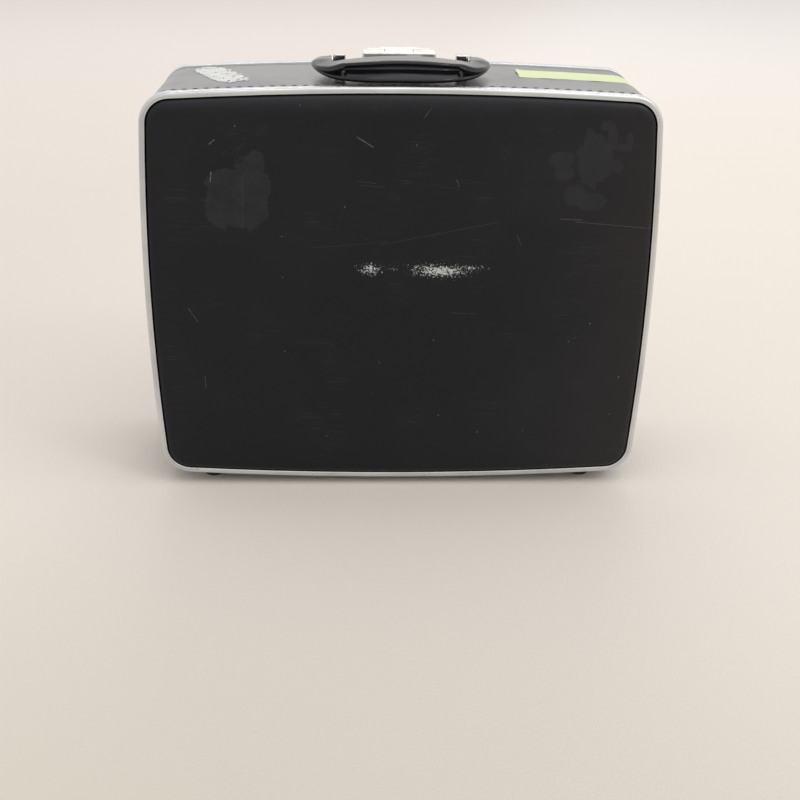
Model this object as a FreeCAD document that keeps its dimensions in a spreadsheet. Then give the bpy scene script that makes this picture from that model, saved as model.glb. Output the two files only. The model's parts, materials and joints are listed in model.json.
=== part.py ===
import FreeCAD, Part
import math
import os
import Sketcher

# Portable typewriter case, closed and standing on its hinge edge.
# X runs across the case, Y from the big front panel to the shallow rear shell, Z up.
# The origin is on the floor, under the middle of the case.
# Depths are measured back from the front face of the aluminium frame, and insets are
# measured inwards from the outline of that frame.

SIZES = {
    # The whole case
    "case_width": 390,
    "frame_height": 314,
    "case_depth": 132,
    "base_depth": 10,
    "standing_height": 6,
    "corner_radius": 23,
    "side_bow": 6.4,
    "top_bow": 6.5,
    "fit_gap": 0.1,
    "move_gap": 0.3,
    "bore_gap": 0.06,
    "overrun": 5,
    # Front frame, side wall and front panel
    "frame_width": 4.7,
    "frame_depth": 8,
    "frame_web": 2.9,
    "frame_round": 2.2,
    "bead_round": 0.7,
    "bead_width": 1.4,
    "bead_groove": 0.4,
    "bead_groove_depth": 0.35,
    "band_inset": 1.2,
    "band_thickness": 2.4,
    "panel_gap": 0.9,
    "panel_proud": 2,
    "panel_roll": 5.5,
    "panel_flange": 2.8,
    "lining_thickness": 1,
    # Rear channel of the deep shell and its tongue
    "valance_inset": 0.2,
    "valance_depth": 6,
    "valance_web": 1.5,
    "tongue_gap": 0.5,
    "tongue_thickness": 1.2,
    "tongue_reach": 4,
    # Shallow rear shell
    "lip_width": 2.8,
    "lip_thickness": 1.4,
    "base_round": 1.2,
    "board_thickness": 3.1,
    # Rubber feet on the back
    "back_foot_height": 5,
    "back_foot_radius": 10,
    "back_foot_end_radius": 8.5,
    "back_foot_side": 45,
    "back_foot_end": 45,
    # Feet on the hinge edge
    "standing_foot_radius": 8,
    "standing_foot_side": 43,
    "standing_foot_front": 24,
    "standing_foot_back": 40,
    # Screws through both kinds of foot
    "screw_radius": 1.6,
    "screw_head_radius": 3.1,
    "screw_head_height": 1.8,
    "screw_recess": 0.9,
    # Hinges
    "hinge_side": 85,
    "hinge_width": 40,
    "hinge_axis_height": 3.2,
    "knuckle_radius": 2.6,
    "knuckle_width": 14.8,
    "hinge_pin_radius": 1.2,
    "leaf_rise": 0.4,
    "lid_leaf_length": 22,
    "base_leaf_length": 8.6,
    "lid_rivet_back": 14,
    "base_rivet_back": 5,
    "hinge_rivet_side": 7,
    # Rivets
    "rivet_radius": 1.5,
    "rivet_head_radius": 2.8,
    "rivet_head_height": 1.1,
    "small_rivet_radius": 1.1,
    "small_rivet_head_radius": 2,
    "small_rivet_head_height": 0.8,
    # Handle
    "handle_lift": 2,
    "post_width": 9.4,
    "post_length": 11,
    "post_above_pin": 5.2,
    "post_round": 1.8,
    "post_edge_round": 0.7,
    "post_base_length": 30,
    "post_base_thickness": 1.4,
    "post_rivet_reach": 10.5,
    "backing_side": 13,
    "backing_length": 36,
    "backing_thickness": 1.2,
    "backing_round": 6,
    "handle_pin_radius": 2,
    "handle_pin_head": 0.8,
    "handle_length": 136,
    "handle_reach": 55,
    "handle_inner_reach": 24,
    "handle_thickness": 15.2,
    "handle_end_drop": 4.84,
    "handle_arm_width": 16.4,
    "handle_corner_radius": 50,
    "handle_inner_radius": 12,
    "handle_arm_end": 7,
    "handle_arm_radius": 6,
    "handle_low_round": 2.2,
    "handle_rim_round": 0.8,
    "scoop_end": 24.5,
    "scoop_depth": 13,
    "scoop_rim": 1.7,
    "scoop_height": 7.4,
    "scoop_round": 2.6,
    "lip_round": 1.5,
    # Latch
    "latch_length": 18,
    "latch_setback": 7,
    "latch_height": 9.8,
    "latch_wall": 1.6,
    "latch_round": 2.4,
    "latch_edge_round": 1.2,
    "latch_plate_width": 70,
    "latch_plate_side": 6,
    "latch_plate_thickness": 1.2,
    "latch_plate_margin": 0.6,
    "latch_rivet_side": 3,
    "latch_rivet_margin": 4.5,
    "notch_gap": 0.6,
    "notch_setback": 6.8,
    "notch_floor_rise": 2,
    "button_travel": 4,
    "button_width": 13,
    "button_reach": 3.6,
    "button_height": 5,
    "button_stem_height": 2.4,
    "button_round": 0.9,
    "carriage_width": 5,
    "carriage_length": 7,
    "carriage_height": 5,
    "bolt_radius": 2,
    "bolt_setback": 12,
    "spring_radius": 1.9,
    "spring_wire": 0.3,
    "spring_turns": 5,
    # Hasp on the rear shell
    "hasp_thickness": 2,
    "hasp_tongue_width": 22,
    "hasp_wing_side": 4,
    "hasp_wing_length": 7,
    "hasp_neck_width": 29.4,
    "hasp_barrel_radius": 3,
    "hasp_axis_setback": 3.6,
    "hasp_axis_drop": 4.5,
    "hasp_pin_radius": 1.2,
    "hasp_round": 2.5,
    "staple_thickness": 3,
    "staple_length": 7,
    "staple_height": 5.6,
    "staple_inner_x": 6,
    "lug_thickness": 3,
    "lug_radius": 3.4,
    "bracket_width": 60,
    "bracket_length": 8.4,
    "bracket_thickness": 1.4,
    "bracket_rivet_side": 5,
    # Fixed hooks for the machine's feet
    "hook_side": 63,
    "hook_rise": 46,
    "hook_width": 26,
    "hook_plate_length": 30,
    "hook_plate_thickness": 1.5,
    "hook_reach": 18,
    "hook_lip": 9,
    "hook_rivet_pitch": 15,
    "hook_rivet_rise": 8,
    # Swivel clamps
    "clamp_side": 45,
    "clamp_drop": 99,
    "clamp_flange_radius": 9,
    "clamp_flange_thickness": 1.4,
    "clamp_shoulder_radius": 5,
    "clamp_stud_radius": 3.2,
    "clamp_cap_radius": 6,
    "clamp_cap_thickness": 2.6,
    "clamp_standoff": 12,
    "clamp_arm_thickness": 3,
    "clamp_arm_width": 14,
    "clamp_arm_length": 36,
    "clamp_pad_radius": 5.5,
    "clamp_pad_thickness": 4,
}


class Size:
    """A number together with the spreadsheet expression that gives it."""

    def __init__(self, number, text):
        self.number = number
        self.text = text

    def __add__(self, other):
        return joined(self, "+", other, self.number + number_of(other))

    def __sub__(self, other):
        return joined(self, "-", other, self.number - number_of(other))

    def __mul__(self, other):
        return joined(self, "*", other, self.number * number_of(other))

    def __rmul__(self, other):
        return joined(other, "*", self, number_of(other) * self.number)

    def __truediv__(self, other):
        return joined(self, "/", other, self.number / number_of(other))

    def __neg__(self):
        return Size(-self.number, "(0 - %s)" % self.text)

    def root(self):
        return Size(math.sqrt(self.number), "sqrt(%s)" % self.text)


def number_of(value):
    return value.number if isinstance(value, Size) else value


def text_of(value):
    return value.text if isinstance(value, Size) else repr(value)


def joined(first, sign, second, number):
    return Size(number, "(%s %s %s)" % (text_of(first), sign, text_of(second)))


class Sheet:
    """The spreadsheet of driving dimensions, read as attributes."""

    def __init__(self, document, sizes):
        self.sizes = sizes
        self.cells = document.addObject("Spreadsheet::Sheet", "Sizes")
        for row, (alias, value) in enumerate(sizes.items(), start=1):
            self.cells.set("A%d" % row, alias.replace("_", " "))
            self.cells.set("B%d" % row, str(value))
            self.cells.setAlias("B%d" % row, alias)

    def __getattr__(self, alias):
        return Size(self.sizes[alias], "Sizes.%s" % alias)


doc = FreeCAD.newDocument("TypewriterCase")
dim = Sheet(doc, SIZES)
doc.recompute()
ZERO = Size(0, "0")
SIDES = {"left": -1, "right": 1}
TURNS = {
    "X": FreeCAD.Rotation(FreeCAD.Vector(0, 1, 0), 90),
    "Y": FreeCAD.Rotation(FreeCAD.Vector(1, 0, 0), -90),
    "Z": FreeCAD.Rotation(),
}
pieces = []


# Places that many pieces share

def depth(value):
    """Y of a place this far behind the frame's front face."""
    whole = dim.panel_proud + dim.case_depth + dim.back_foot_height
    return dim.panel_proud - whole / 2 + value


def bow_radius(half, bow):
    return (half * half + bow * bow) / (2 * bow)


half_width = dim.case_width / 2
half_height = dim.frame_height / 2
middle_z = dim.standing_height + half_height
side_radius = bow_radius(half_height, dim.side_bow)
top_radius = bow_radius(half_width, dim.top_bow)
band_inner = dim.band_inset + dim.band_thickness
wall_inner = band_inner + dim.fit_gap
lining_inner = wall_inner + dim.lining_thickness
panel_back = dim.frame_depth + dim.fit_gap + dim.panel_flange
lid_depth = dim.case_depth - dim.base_depth
base_front = lid_depth + dim.move_gap
board_back = dim.case_depth - dim.lip_thickness - dim.fit_gap
board_front = board_back - dim.board_thickness
base_lining_front = board_front - dim.fit_gap - dim.lining_thickness
hinge_y = depth(lid_depth + dim.move_gap / 2)


def top_height(inset, across):
    """Z of the bowed top outline at this distance from the middle."""
    radius = top_radius - inset
    drop = radius - (radius * radius - across * across).root()
    return middle_z + half_height - inset - drop


def bottom_height(inset, across):
    return 2 * middle_z - top_height(inset, across)


hinge_x = half_width - dim.hinge_side
hinge_rivet_step = dim.hinge_width / 2 - dim.hinge_rivet_side
handle_depth = dim.case_depth / 2
handle_front = handle_depth - dim.handle_reach
arm_outer = dim.handle_length / 2
arm_inner = arm_outer - dim.handle_arm_width
post_x = arm_inner - dim.move_gap - dim.post_width / 2
latch_rear = lid_depth - dim.latch_setback
latch_front = latch_rear - dim.latch_length
latch_half = dim.latch_plate_width / 2 - dim.latch_plate_side
bracket_rivet_x = dim.bracket_width / 2 - dim.bracket_rivet_side
hasp_axis = dim.case_depth - dim.hasp_axis_setback
hook_x = half_width - dim.hook_side


# Document helpers

def keep(feature, label):
    """Name a finished sub-part and put it on the list of files to write."""
    feature.Label = label
    pieces.append(feature)
    return feature


def bind(feature, **properties):
    for name, value in properties.items():
        feature.setExpression(name.replace("__", "."), value.text)


def new_body(label):
    body = doc.addObject("PartDesign::Body", label)
    return keep(body, label)


def plane_sketch(body, role, offset, shift_up=ZERO):
    """A sketch on one of the body's own planes, moved along the plane's normal."""
    sketch = body.newObject("Sketcher::SketchObject", body.Name + "_sketch")
    plane = next(item for item in body.Origin.OriginFeatures if item.Role == role)
    sketch.AttachmentSupport = [(plane, "")]
    sketch.MapMode = "FlatFace"
    bind(sketch, AttachmentOffset__Base__z=offset, AttachmentOffset__Base__y=shift_up)
    return sketch


def facing_sketch(body, place, shift_up=ZERO):
    """A sketch seen from the front, at this depth. Its normal points to the front."""
    return plane_sketch(body, "XZ_Plane", -depth(place), shift_up)


def constrain(sketch, *arguments, size=None):
    index = sketch.addConstraint(Sketcher.Constraint(*arguments))
    if size is not None:
        sketch.setExpression("Constraints[%d]" % index, size.text)


def pin_point(sketch, geometry, vertex, x, y):
    """Hold one vertex of the sketch at a place given by the sheet."""
    for kind, axis, value in (("DistanceX", -2, x), ("DistanceY", -1, y)):
        if value.text == ZERO.text:
            constrain(sketch, "PointOnObject", geometry, vertex, axis)
        elif value.number < 0:
            flipped = -value
            constrain(sketch, kind, geometry, vertex, -1, 1, flipped.number, size=flipped)
        else:
            constrain(sketch, kind, -1, 1, geometry, vertex, value.number, size=value)


def draw_polygon(sketch, corners):
    places = [FreeCAD.Vector(x.number, y.number, 0) for x, y in corners]
    first = len(sketch.Geometry)
    last = first + len(corners) - 1
    for index, start in enumerate(places):
        sketch.addGeometry(Part.LineSegment(start, places[(index + 1) % len(places)]))
    for index in range(first, last + 1):
        following = index + 1 if index < last else first
        constrain(sketch, "Coincident", index, 2, following, 1)
        pin_point(sketch, index, 1, *corners[index - first])


def draw_circle(sketch, x, y, radius):
    centre = FreeCAD.Vector(x.number, y.number, 0)
    normal = FreeCAD.Vector(0, 0, 1)
    index = sketch.addGeometry(Part.Circle(centre, normal, radius.number))
    constrain(sketch, "Radius", index, radius.number, size=radius)
    pin_point(sketch, index, 3, x, y)


def arc_of(centre, radius, start, end):
    circle = Part.Circle(FreeCAD.Vector(*centre, 0), FreeCAD.Vector(0, 0, 1), radius)
    return Part.ArcOfCircle(circle, start, end)


def draw_outline(sketch, inset):
    """The bowed rectangle of the case, drawn this far inside its outer edge.

    Four long arcs share their centres at every inset, and a small arc rounds each corner.
    """
    side, top = side_radius - inset, top_radius - inset
    corner = dim.corner_radius - inset
    side_shift = side_radius - half_width
    top_shift = top_radius - half_height
    # The corner arc touches both long arcs from inside, so its centre is known
    reach_side = (side_radius - dim.corner_radius).number
    reach_top = (top_radius - dim.corner_radius).number
    across, up = side_shift.number, top_shift.number
    span = math.hypot(across, up)
    along = (reach_side ** 2 - reach_top ** 2 + span ** 2) / (2 * span)
    lateral = math.sqrt(reach_side ** 2 - along ** 2)
    unit = (across / span, -up / span)
    corner_x = -across + along * unit[0] - lateral * unit[1]
    corner_z = along * unit[1] + lateral * unit[0]
    side_angle = math.atan2(corner_z, corner_x + across)
    top_angle = math.atan2(corner_z + up, corner_x)
    first = len(sketch.Geometry)
    quarter = math.pi / 2
    long_arcs = (
        ((-across, 0), side.number, side_angle),
        ((0, -up), top.number, quarter - top_angle),
        ((across, 0), side.number, side_angle),
        ((0, up), top.number, quarter - top_angle),
    )
    corners = ((1, 1), (-1, 1), (-1, -1), (1, -1))
    for turn, (centre, radius, half_angle) in enumerate(long_arcs):
        facing = turn * quarter
        sketch.addGeometry(arc_of(centre, radius, facing - half_angle, facing + half_angle))
        sign_x, sign_z = corners[turn]
        start, end = (side_angle, top_angle) if turn % 2 == 0 else (
            quarter - top_angle, quarter - side_angle)
        place = (sign_x * corner_x, sign_z * corner_z)
        sketch.addGeometry(arc_of(place, corner.number, facing + start, facing + end))
    for index in range(8):
        constrain(sketch, "Tangent", first + index, 2, first + (index + 1) % 8, 1)
    for index, x, z, radius in (
        (0, -side_shift, ZERO, side),
        (2, ZERO, -top_shift, top),
        (4, side_shift, ZERO, side),
        (6, ZERO, top_shift, top),
    ):
        pin_point(sketch, first + index, 3, x, z)
        constrain(sketch, "Radius", first + index, radius.number, size=radius)
    for index in (1, 3, 5, 7):
        constrain(sketch, "Radius", first + index, corner.number, size=corner)


def extrude(body, kind, sketch, length, flipped=False):
    feature = body.newObject("PartDesign::" + kind, body.Name + "_" + kind.lower())
    feature.Profile = sketch
    feature.Reversed = flipped
    bind(feature, Length=length)
    sketch.Visibility = False
    doc.recompute()
    return feature


def ring(body, outer, inner, front, back):
    """A bowed ring between two insets and two depths."""
    sketch = facing_sketch(body, front, middle_z)
    draw_outline(sketch, outer)
    draw_outline(sketch, inner)
    return extrude(body, "Pad", sketch, back - front, True)


def slab(body, inset, front, back):
    sketch = facing_sketch(body, front, middle_z)
    draw_outline(sketch, inset)
    return extrude(body, "Pad", sketch, back - front, True)


def ring_groove(body, outer, inner, start, length, to_front):
    """Cut a bowed groove that runs to the front or to the back."""
    sketch = facing_sketch(body, start, middle_z)
    draw_outline(sketch, outer)
    draw_outline(sketch, inner)
    return extrude(body, "Pocket", sketch, length, to_front)


def drill(body, plane, offset, centres, radius, length, flipped=False):
    """Holes square to one of the body's planes."""
    sketch = plane_sketch(body, plane, offset)
    for x, y in centres:
        draw_circle(sketch, x, y, radius)
    return extrude(body, "Pocket", sketch, length, flipped)


def block(body, kind, low, high):
    """A box between two corners that adds to the body or cuts it."""
    feature = body.newObject("PartDesign::%sBox" % kind, body.Name + "_block")
    bind(
        feature,
        Length=high[0] - low[0],
        Width=high[1] - low[1],
        Height=high[2] - low[2],
        Placement__Base__x=low[0],
        Placement__Base__y=low[1],
        Placement__Base__z=low[2],
    )
    doc.recompute()
    return feature


def place_rod(feature, start, radius, length, axis):
    feature.Placement = FreeCAD.Placement(FreeCAD.Vector(), TURNS[axis])
    bind(
        feature,
        Radius=radius,
        Height=length,
        Placement__Base__x=start[0],
        Placement__Base__y=start[1],
        Placement__Base__z=start[2],
    )


def rod(body, kind, start, radius, length, axis):
    """A cylinder from a start point along X, Y or Z that adds to the body or cuts it."""
    feature = body.newObject("PartDesign::%sCylinder" % kind, body.Name + "_rod")
    place_rod(feature, start, radius, length, axis)
    doc.recompute()
    return feature


def soften(body, radius, chosen):
    """Round the edges of the body's last feature that the test picks."""
    base = body.Tip
    names = [
        "Edge%d" % (index + 1)
        for index, edge in enumerate(base.Shape.Edges)
        if chosen(edge)
    ]
    feature = body.newObject("PartDesign::Fillet", body.Name + "_fillet")
    feature.Base = (base, names)
    bind(feature, Radius=radius)
    doc.recompute()
    return feature


SAME = 1e-4


def lies_at(edge, axis, value):
    """True where the whole edge lies in one plane square to an axis."""
    box = edge.BoundBox
    low, high = getattr(box, axis + "Min"), getattr(box, axis + "Max")
    return abs(low - value.number) < SAME and abs(high - value.number) < SAME


def runs_along(edge, axis):
    if edge.Curve.TypeId != "Part::GeomLine":
        return False
    return abs(abs(getattr(edge.tangentAt(edge.FirstParameter), axis)) - 1) < SAME


def on_outline(edge, place, inset):
    """True for the long and corner arcs of one outline at one depth."""
    if not lies_at(edge, "Y", depth(place)):
        return False
    long_radii = (side_radius - inset, top_radius - inset, dim.corner_radius - inset)
    return any(abs(edge.Curve.Radius - radius.number) < SAME for radius in long_radii)


def bowed_cut(body, left, right, flat, apex, radius, centre_above, front, length):
    """Cut away what lies between a bowed arc and a flat line, seen from the front."""
    sketch = facing_sketch(body, front)
    lean = 1 if centre_above else -1
    centre = apex + lean * radius
    arc_z = [
        centre - lean * (radius * radius - x * x).root()
        for x in (left, right)
    ]
    corners = [(left, arc_z[0]), (left, flat), (right, flat), (right, arc_z[1])]
    places = [FreeCAD.Vector(x.number, z.number, 0) for x, z in corners]
    for index in range(3):
        sketch.addGeometry(Part.LineSegment(places[index], places[index + 1]))
    angles = [math.atan2(p.y - centre.number, p.x) for p in (places[0], places[3])]
    start, end = angles if centre_above else reversed(angles)
    sketch.addGeometry(arc_of((0, centre.number), radius.number, start, end))
    constrain(sketch, "Coincident", 0, 2, 1, 1)
    constrain(sketch, "Coincident", 1, 2, 2, 1)
    constrain(sketch, "Coincident", 0, 1, 3, 1 if centre_above else 2)
    constrain(sketch, "Coincident", 2, 2, 3, 2 if centre_above else 1)
    pin_point(sketch, 3, 3, ZERO, centre)
    constrain(sketch, "Radius", 3, radius.number, size=radius)
    pin_point(sketch, 1, 1, left, flat)
    pin_point(sketch, 2, 1, right, flat)
    constrain(sketch, "Vertical", 0)
    constrain(sketch, "Vertical", 2)
    return extrude(body, "Pocket", sketch, length)


def loose_rod(name, start, radius, length, axis):
    feature = doc.addObject("Part::Cylinder", name)
    place_rod(feature, start, radius, length, axis)
    return feature


def group(label, members):
    """Identical fasteners share one sub-part as separate solids."""
    feature = doc.addObject("Part::Compound", label)
    feature.Links = members
    return keep(feature, label)


def fastener(name, seat, axis, sign, head, shank, trims=()):
    """A round head on its seat and a shank that runs on from the seat.

    The head stands off the seat against the sign, and the shank runs with it.
    """
    index = "XYZ".index(axis)
    head_start, shank_start = list(seat), list(seat)
    head_radius, head_height = head
    shank_radius, shank_length = shank
    if sign > 0:
        head_start[index] = seat[index] - head_height
    else:
        shank_start[index] = seat[index] - shank_length
    parts = [
        loose_rod(name + "_head", head_start, head_radius, head_height, axis),
        loose_rod(name + "_shank", shank_start, shank_radius, shank_length, axis),
    ]
    fused = doc.addObject("Part::MultiFuse", name)
    fused.Shapes = parts
    doc.recompute()
    rounded = doc.addObject("Part::Fillet", name + "_rounded")
    rounded.Base = fused
    outer = seat[index] - sign * head_height
    index_of_rim = next(
        number for number, edge in enumerate(fused.Shape.Edges, start=1)
        if lies_at(edge, axis, outer)
    )
    size = head_height.number / 2
    rounded.Edges = [(index_of_rim, size, size)]
    return rounded


RIVET = (dim.rivet_head_radius, dim.rivet_head_height)
SMALL_RIVET = (dim.small_rivet_head_radius, dim.small_rivet_head_height)
rivet_hole = dim.rivet_radius + dim.fit_gap
small_rivet_hole = dim.small_rivet_radius + dim.fit_gap
screw_hole = dim.screw_radius + dim.fit_gap


# Places of the fasteners, each used for the fastener and for every hole it passes

standing_foot_places = [
    (sign * (half_width - dim.standing_foot_side), depth(place))
    for sign in SIDES.values()
    for place in (dim.standing_foot_front, dim.case_depth - dim.standing_foot_back)
]
back_foot_places = [
    (sign * (half_width - dim.back_foot_side), middle_z + up * (half_height - dim.back_foot_end))
    for sign in SIDES.values()
    for up in (-1, 1)
]
lid_rivet_places = [
    (sign * hinge_x + step * hinge_rivet_step, depth(lid_depth - dim.lid_rivet_back))
    for sign in SIDES.values()
    for step in (-1, 1)
]
base_rivet_places = [
    (sign * hinge_x + step * hinge_rivet_step, depth(base_front + dim.base_rivet_back))
    for sign in SIDES.values()
    for step in (-1, 1)
]
post_rivet_places = [
    (sign * post_x, depth(handle_depth + step * dim.post_rivet_reach))
    for sign in SIDES.values()
    for step in (-1, 1)
]
latch_rivet_places = [
    (sign * (dim.latch_plate_width / 2 - dim.latch_rivet_side), depth(place))
    for sign in SIDES.values()
    for place in (latch_front + dim.latch_rivet_margin, latch_rear - dim.latch_rivet_margin)
]
bracket_rivet_places = [
    (sign * bracket_rivet_x, depth(hasp_axis))
    for sign in SIDES.values()
]
hook_rivet_places = [
    (sign * hook_x + step * dim.hook_rivet_pitch / 2, middle_z - half_height + dim.hook_rise
     + dim.hook_rivet_rise)
    for sign in SIDES.values()
    for step in (-1, 1)
]
clamp_places = [
    (sign * (half_width - dim.clamp_side), middle_z + half_height - dim.clamp_drop)
    for sign in SIDES.values()
]


# Deep shell

def front_frame():
    body = new_body("front_frame")
    ring(body, ZERO, dim.frame_width, ZERO, dim.frame_depth)
    ring_groove(
        body, dim.band_inset - dim.fit_gap, wall_inner, dim.frame_web,
        dim.frame_depth, False,
    )
    groove_outer = dim.frame_width - dim.bead_width - dim.bead_groove
    ring_groove(
        body, groove_outer, groove_outer + dim.bead_groove, dim.bead_groove_depth,
        dim.bead_groove_depth + dim.overrun, True,
    )
    soften(body, dim.frame_round, lambda edge: on_outline(edge, ZERO, ZERO))
    soften(body, dim.bead_round, lambda edge: on_outline(edge, ZERO, dim.frame_width))


def front_panel():
    body = new_body("front_panel")
    flange_front = dim.frame_depth + dim.fit_gap
    inset = dim.frame_width + dim.panel_gap
    slab(body, inset, -dim.panel_proud, flange_front)
    slab(body, wall_inner, flange_front, panel_back)
    soften(body, dim.panel_roll, lambda edge: on_outline(edge, -dim.panel_proud, inset))


def post_holes(body, inset, thickness):
    """The handle posts' rivet holes through one layer of the top wall."""
    top = top_height(inset, ZERO) + dim.overrun
    drill(body, "XY_Plane", top, post_rivet_places, rivet_hole, thickness + 2 * dim.overrun)


def side_band():
    body = new_body("side_band")
    ring(body, dim.band_inset, band_inner, dim.frame_web + dim.fit_gap,
         lid_depth - dim.valance_web - dim.fit_gap)
    post_holes(body, dim.band_inset, dim.band_thickness)
    top = top_height(dim.band_inset, ZERO) + dim.overrun
    low = bottom_height(dim.band_inset, ZERO) - dim.overrun
    reach = dim.band_thickness + 2 * dim.overrun
    drill(body, "XY_Plane", top, latch_rivet_places, small_rivet_hole, reach)
    low_reach = reach + dim.overrun
    drill(body, "XY_Plane", low, lid_rivet_places, rivet_hole, low_reach, True)
    drill(body, "XY_Plane", low, standing_foot_places, screw_hole, low_reach, True)


def lid_valance():
    body = new_body("lid_valance")
    front = lid_depth - dim.valance_depth
    web_front = lid_depth - dim.valance_web
    tongue_outer = dim.frame_width + dim.tongue_gap
    tongue_inner = tongue_outer + dim.tongue_thickness
    ring(body, dim.valance_inset, lining_inner, front, lid_depth)
    ring(body, lining_inner, tongue_inner, web_front, lid_depth)
    ring(body, tongue_outer, tongue_inner, lid_depth, lid_depth + dim.tongue_reach)
    ring_groove(
        body, dim.band_inset - dim.fit_gap, wall_inner, web_front,
        dim.valance_depth, True,
    )
    soften(body, dim.bead_round, lambda edge: on_outline(edge, lid_depth, dim.valance_inset))


def linings():
    body = new_body("panel_lining")
    slab(body, lining_inner + dim.fit_gap, panel_back + dim.fit_gap,
         panel_back + dim.fit_gap + dim.lining_thickness)
    body = new_body("band_lining")
    ring(body, wall_inner, lining_inner, panel_back + dim.fit_gap,
         lid_depth - dim.valance_depth - dim.fit_gap)
    post_holes(body, wall_inner, dim.lining_thickness)


def standing_feet():
    """Rubber feet on the hinge edge, hollowed to the bowed wall above them."""
    members = []
    for x, y in standing_foot_places:
        crown = bottom_height(dim.band_inset, x) + dim.overrun
        foot = loose_rod("standing_foot", (x, y, ZERO), dim.standing_foot_radius, crown, "Z")
        wall = loose_rod(
            "wall_above_foot",
            (ZERO, y - 2 * dim.standing_foot_radius, middle_z - half_height + top_radius),
            top_radius - dim.band_inset + dim.fit_gap, 4 * dim.standing_foot_radius, "Y",
        )
        recess = loose_rod(
            "foot_recess", (x, y, ZERO), dim.screw_head_radius + dim.move_gap,
            dim.screw_recess + dim.screw_head_height, "Z",
        )
        hole = loose_rod("foot_hole", (x, y, ZERO), screw_hole, crown, "Z")
        tools = doc.addObject("Part::MultiFuse", "foot_tools")
        tools.Shapes = [recess, hole]
        drilled = doc.addObject("Part::Cut", "drilled_foot")
        drilled.Base, drilled.Tool = foot, tools
        seated = doc.addObject("Part::Cut", "seated_foot")
        seated.Base, seated.Tool = drilled, wall
        members.append(seated)
    group("standing_feet", members)
    seat = dim.screw_recess + dim.screw_head_height
    group("standing_foot_screws", [
        fastener(
            "standing_foot_screw", (x, y, seat), "Z", 1,
            (dim.screw_head_radius, dim.screw_head_height),
            (dim.screw_radius, bottom_height(band_inner, x) - seat),
        )
        for x, y in standing_foot_places
    ])


# Hinges

leaf_floor = dim.hinge_axis_height + dim.knuckle_radius + dim.leaf_rise
side_knuckle = (dim.hinge_width - dim.knuckle_width) / 2 - dim.move_gap


def knuckle(body, start_x, length, web_side):
    """A barrel on the hinge line with a web that rises to its leaf."""
    start = (start_x, hinge_y, dim.hinge_axis_height)
    rod(body, "Additive", start, dim.knuckle_radius, length, "X")
    edge = dim.move_gap / 2
    ends = (hinge_y + edge, hinge_y + dim.knuckle_radius)
    if web_side < 0:
        ends = (hinge_y - dim.knuckle_radius, hinge_y - edge)
    block(
        body, "Additive", (start_x, ends[0], dim.hinge_axis_height),
        (start_x + length, ends[1], leaf_floor + dim.leaf_rise),
    )


def hinge(side):
    sign = SIDES[side]
    centre = sign * hinge_x
    left, right = centre - dim.hinge_width / 2, centre + dim.hinge_width / 2
    crown = bottom_height(ZERO, hinge_x + dim.hinge_width)
    bore = dim.hinge_pin_radius + dim.bore_gap
    axis_start = (left - dim.overrun, hinge_y, dim.hinge_axis_height)
    axis_length = dim.hinge_width + 2 * dim.overrun
    plates = (
        ("hinge_lid_leaf_" + side, depth(lid_depth - dim.lid_leaf_length),
         depth(lid_depth), lid_rivet_places),
        ("hinge_base_leaf_" + side, depth(base_front),
         depth(base_front + dim.base_leaf_length), base_rivet_places),
    )
    for label, front, back, rivets in plates:
        body = new_body(label)
        block(body, "Additive", (left, front, leaf_floor), (right, back, crown))
        inset = dim.valance_inset - dim.fit_gap
        bowed_cut(
            body, left - dim.overrun, right + dim.overrun, crown + dim.overrun,
            middle_z - half_height + inset, top_radius - inset, True,
            ZERO, dim.case_depth,
        )
        if "lid" in label:
            knuckle(body, left, side_knuckle, -1)
            knuckle(body, right - side_knuckle, side_knuckle, -1)
        else:
            knuckle(body, centre - dim.knuckle_width / 2, dim.knuckle_width, 1)
        rod(body, "Subtractive", axis_start, bore, axis_length, "X")
        own = [place for place in rivets if place[0].number * sign > 0]
        drill(body, "XY_Plane", leaf_floor - dim.overrun, own, rivet_hole,
              crown + dim.overrun, True)
    pin = loose_rod(
        "hinge_pin_" + side, (left, hinge_y, dim.hinge_axis_height),
        dim.hinge_pin_radius, dim.hinge_width, "X",
    )
    keep(pin, "hinge_pin_" + side)


def hinge_rivets():
    for label, places, inner in (
        ("hinge_lid_rivets", lid_rivet_places, band_inner),
        ("hinge_base_rivets", base_rivet_places, dim.frame_width),
    ):
        group(label, [
            fastener(
                label[:-1], (x, y, leaf_floor), "Z", 1, RIVET,
                (dim.rivet_radius, bottom_height(inner, x) - leaf_floor),
            )
            for x, y in places
        ])


# Handle

post_seat = top_height(dim.band_inset, post_x - dim.post_width / 2) + dim.fit_gap
handle_y = depth(handle_depth)
handle_z = top_height(dim.band_inset, ZERO) + dim.handle_lift + dim.handle_thickness / 2
handle_profile = bow_radius(arm_outer, dim.handle_end_drop)


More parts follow.
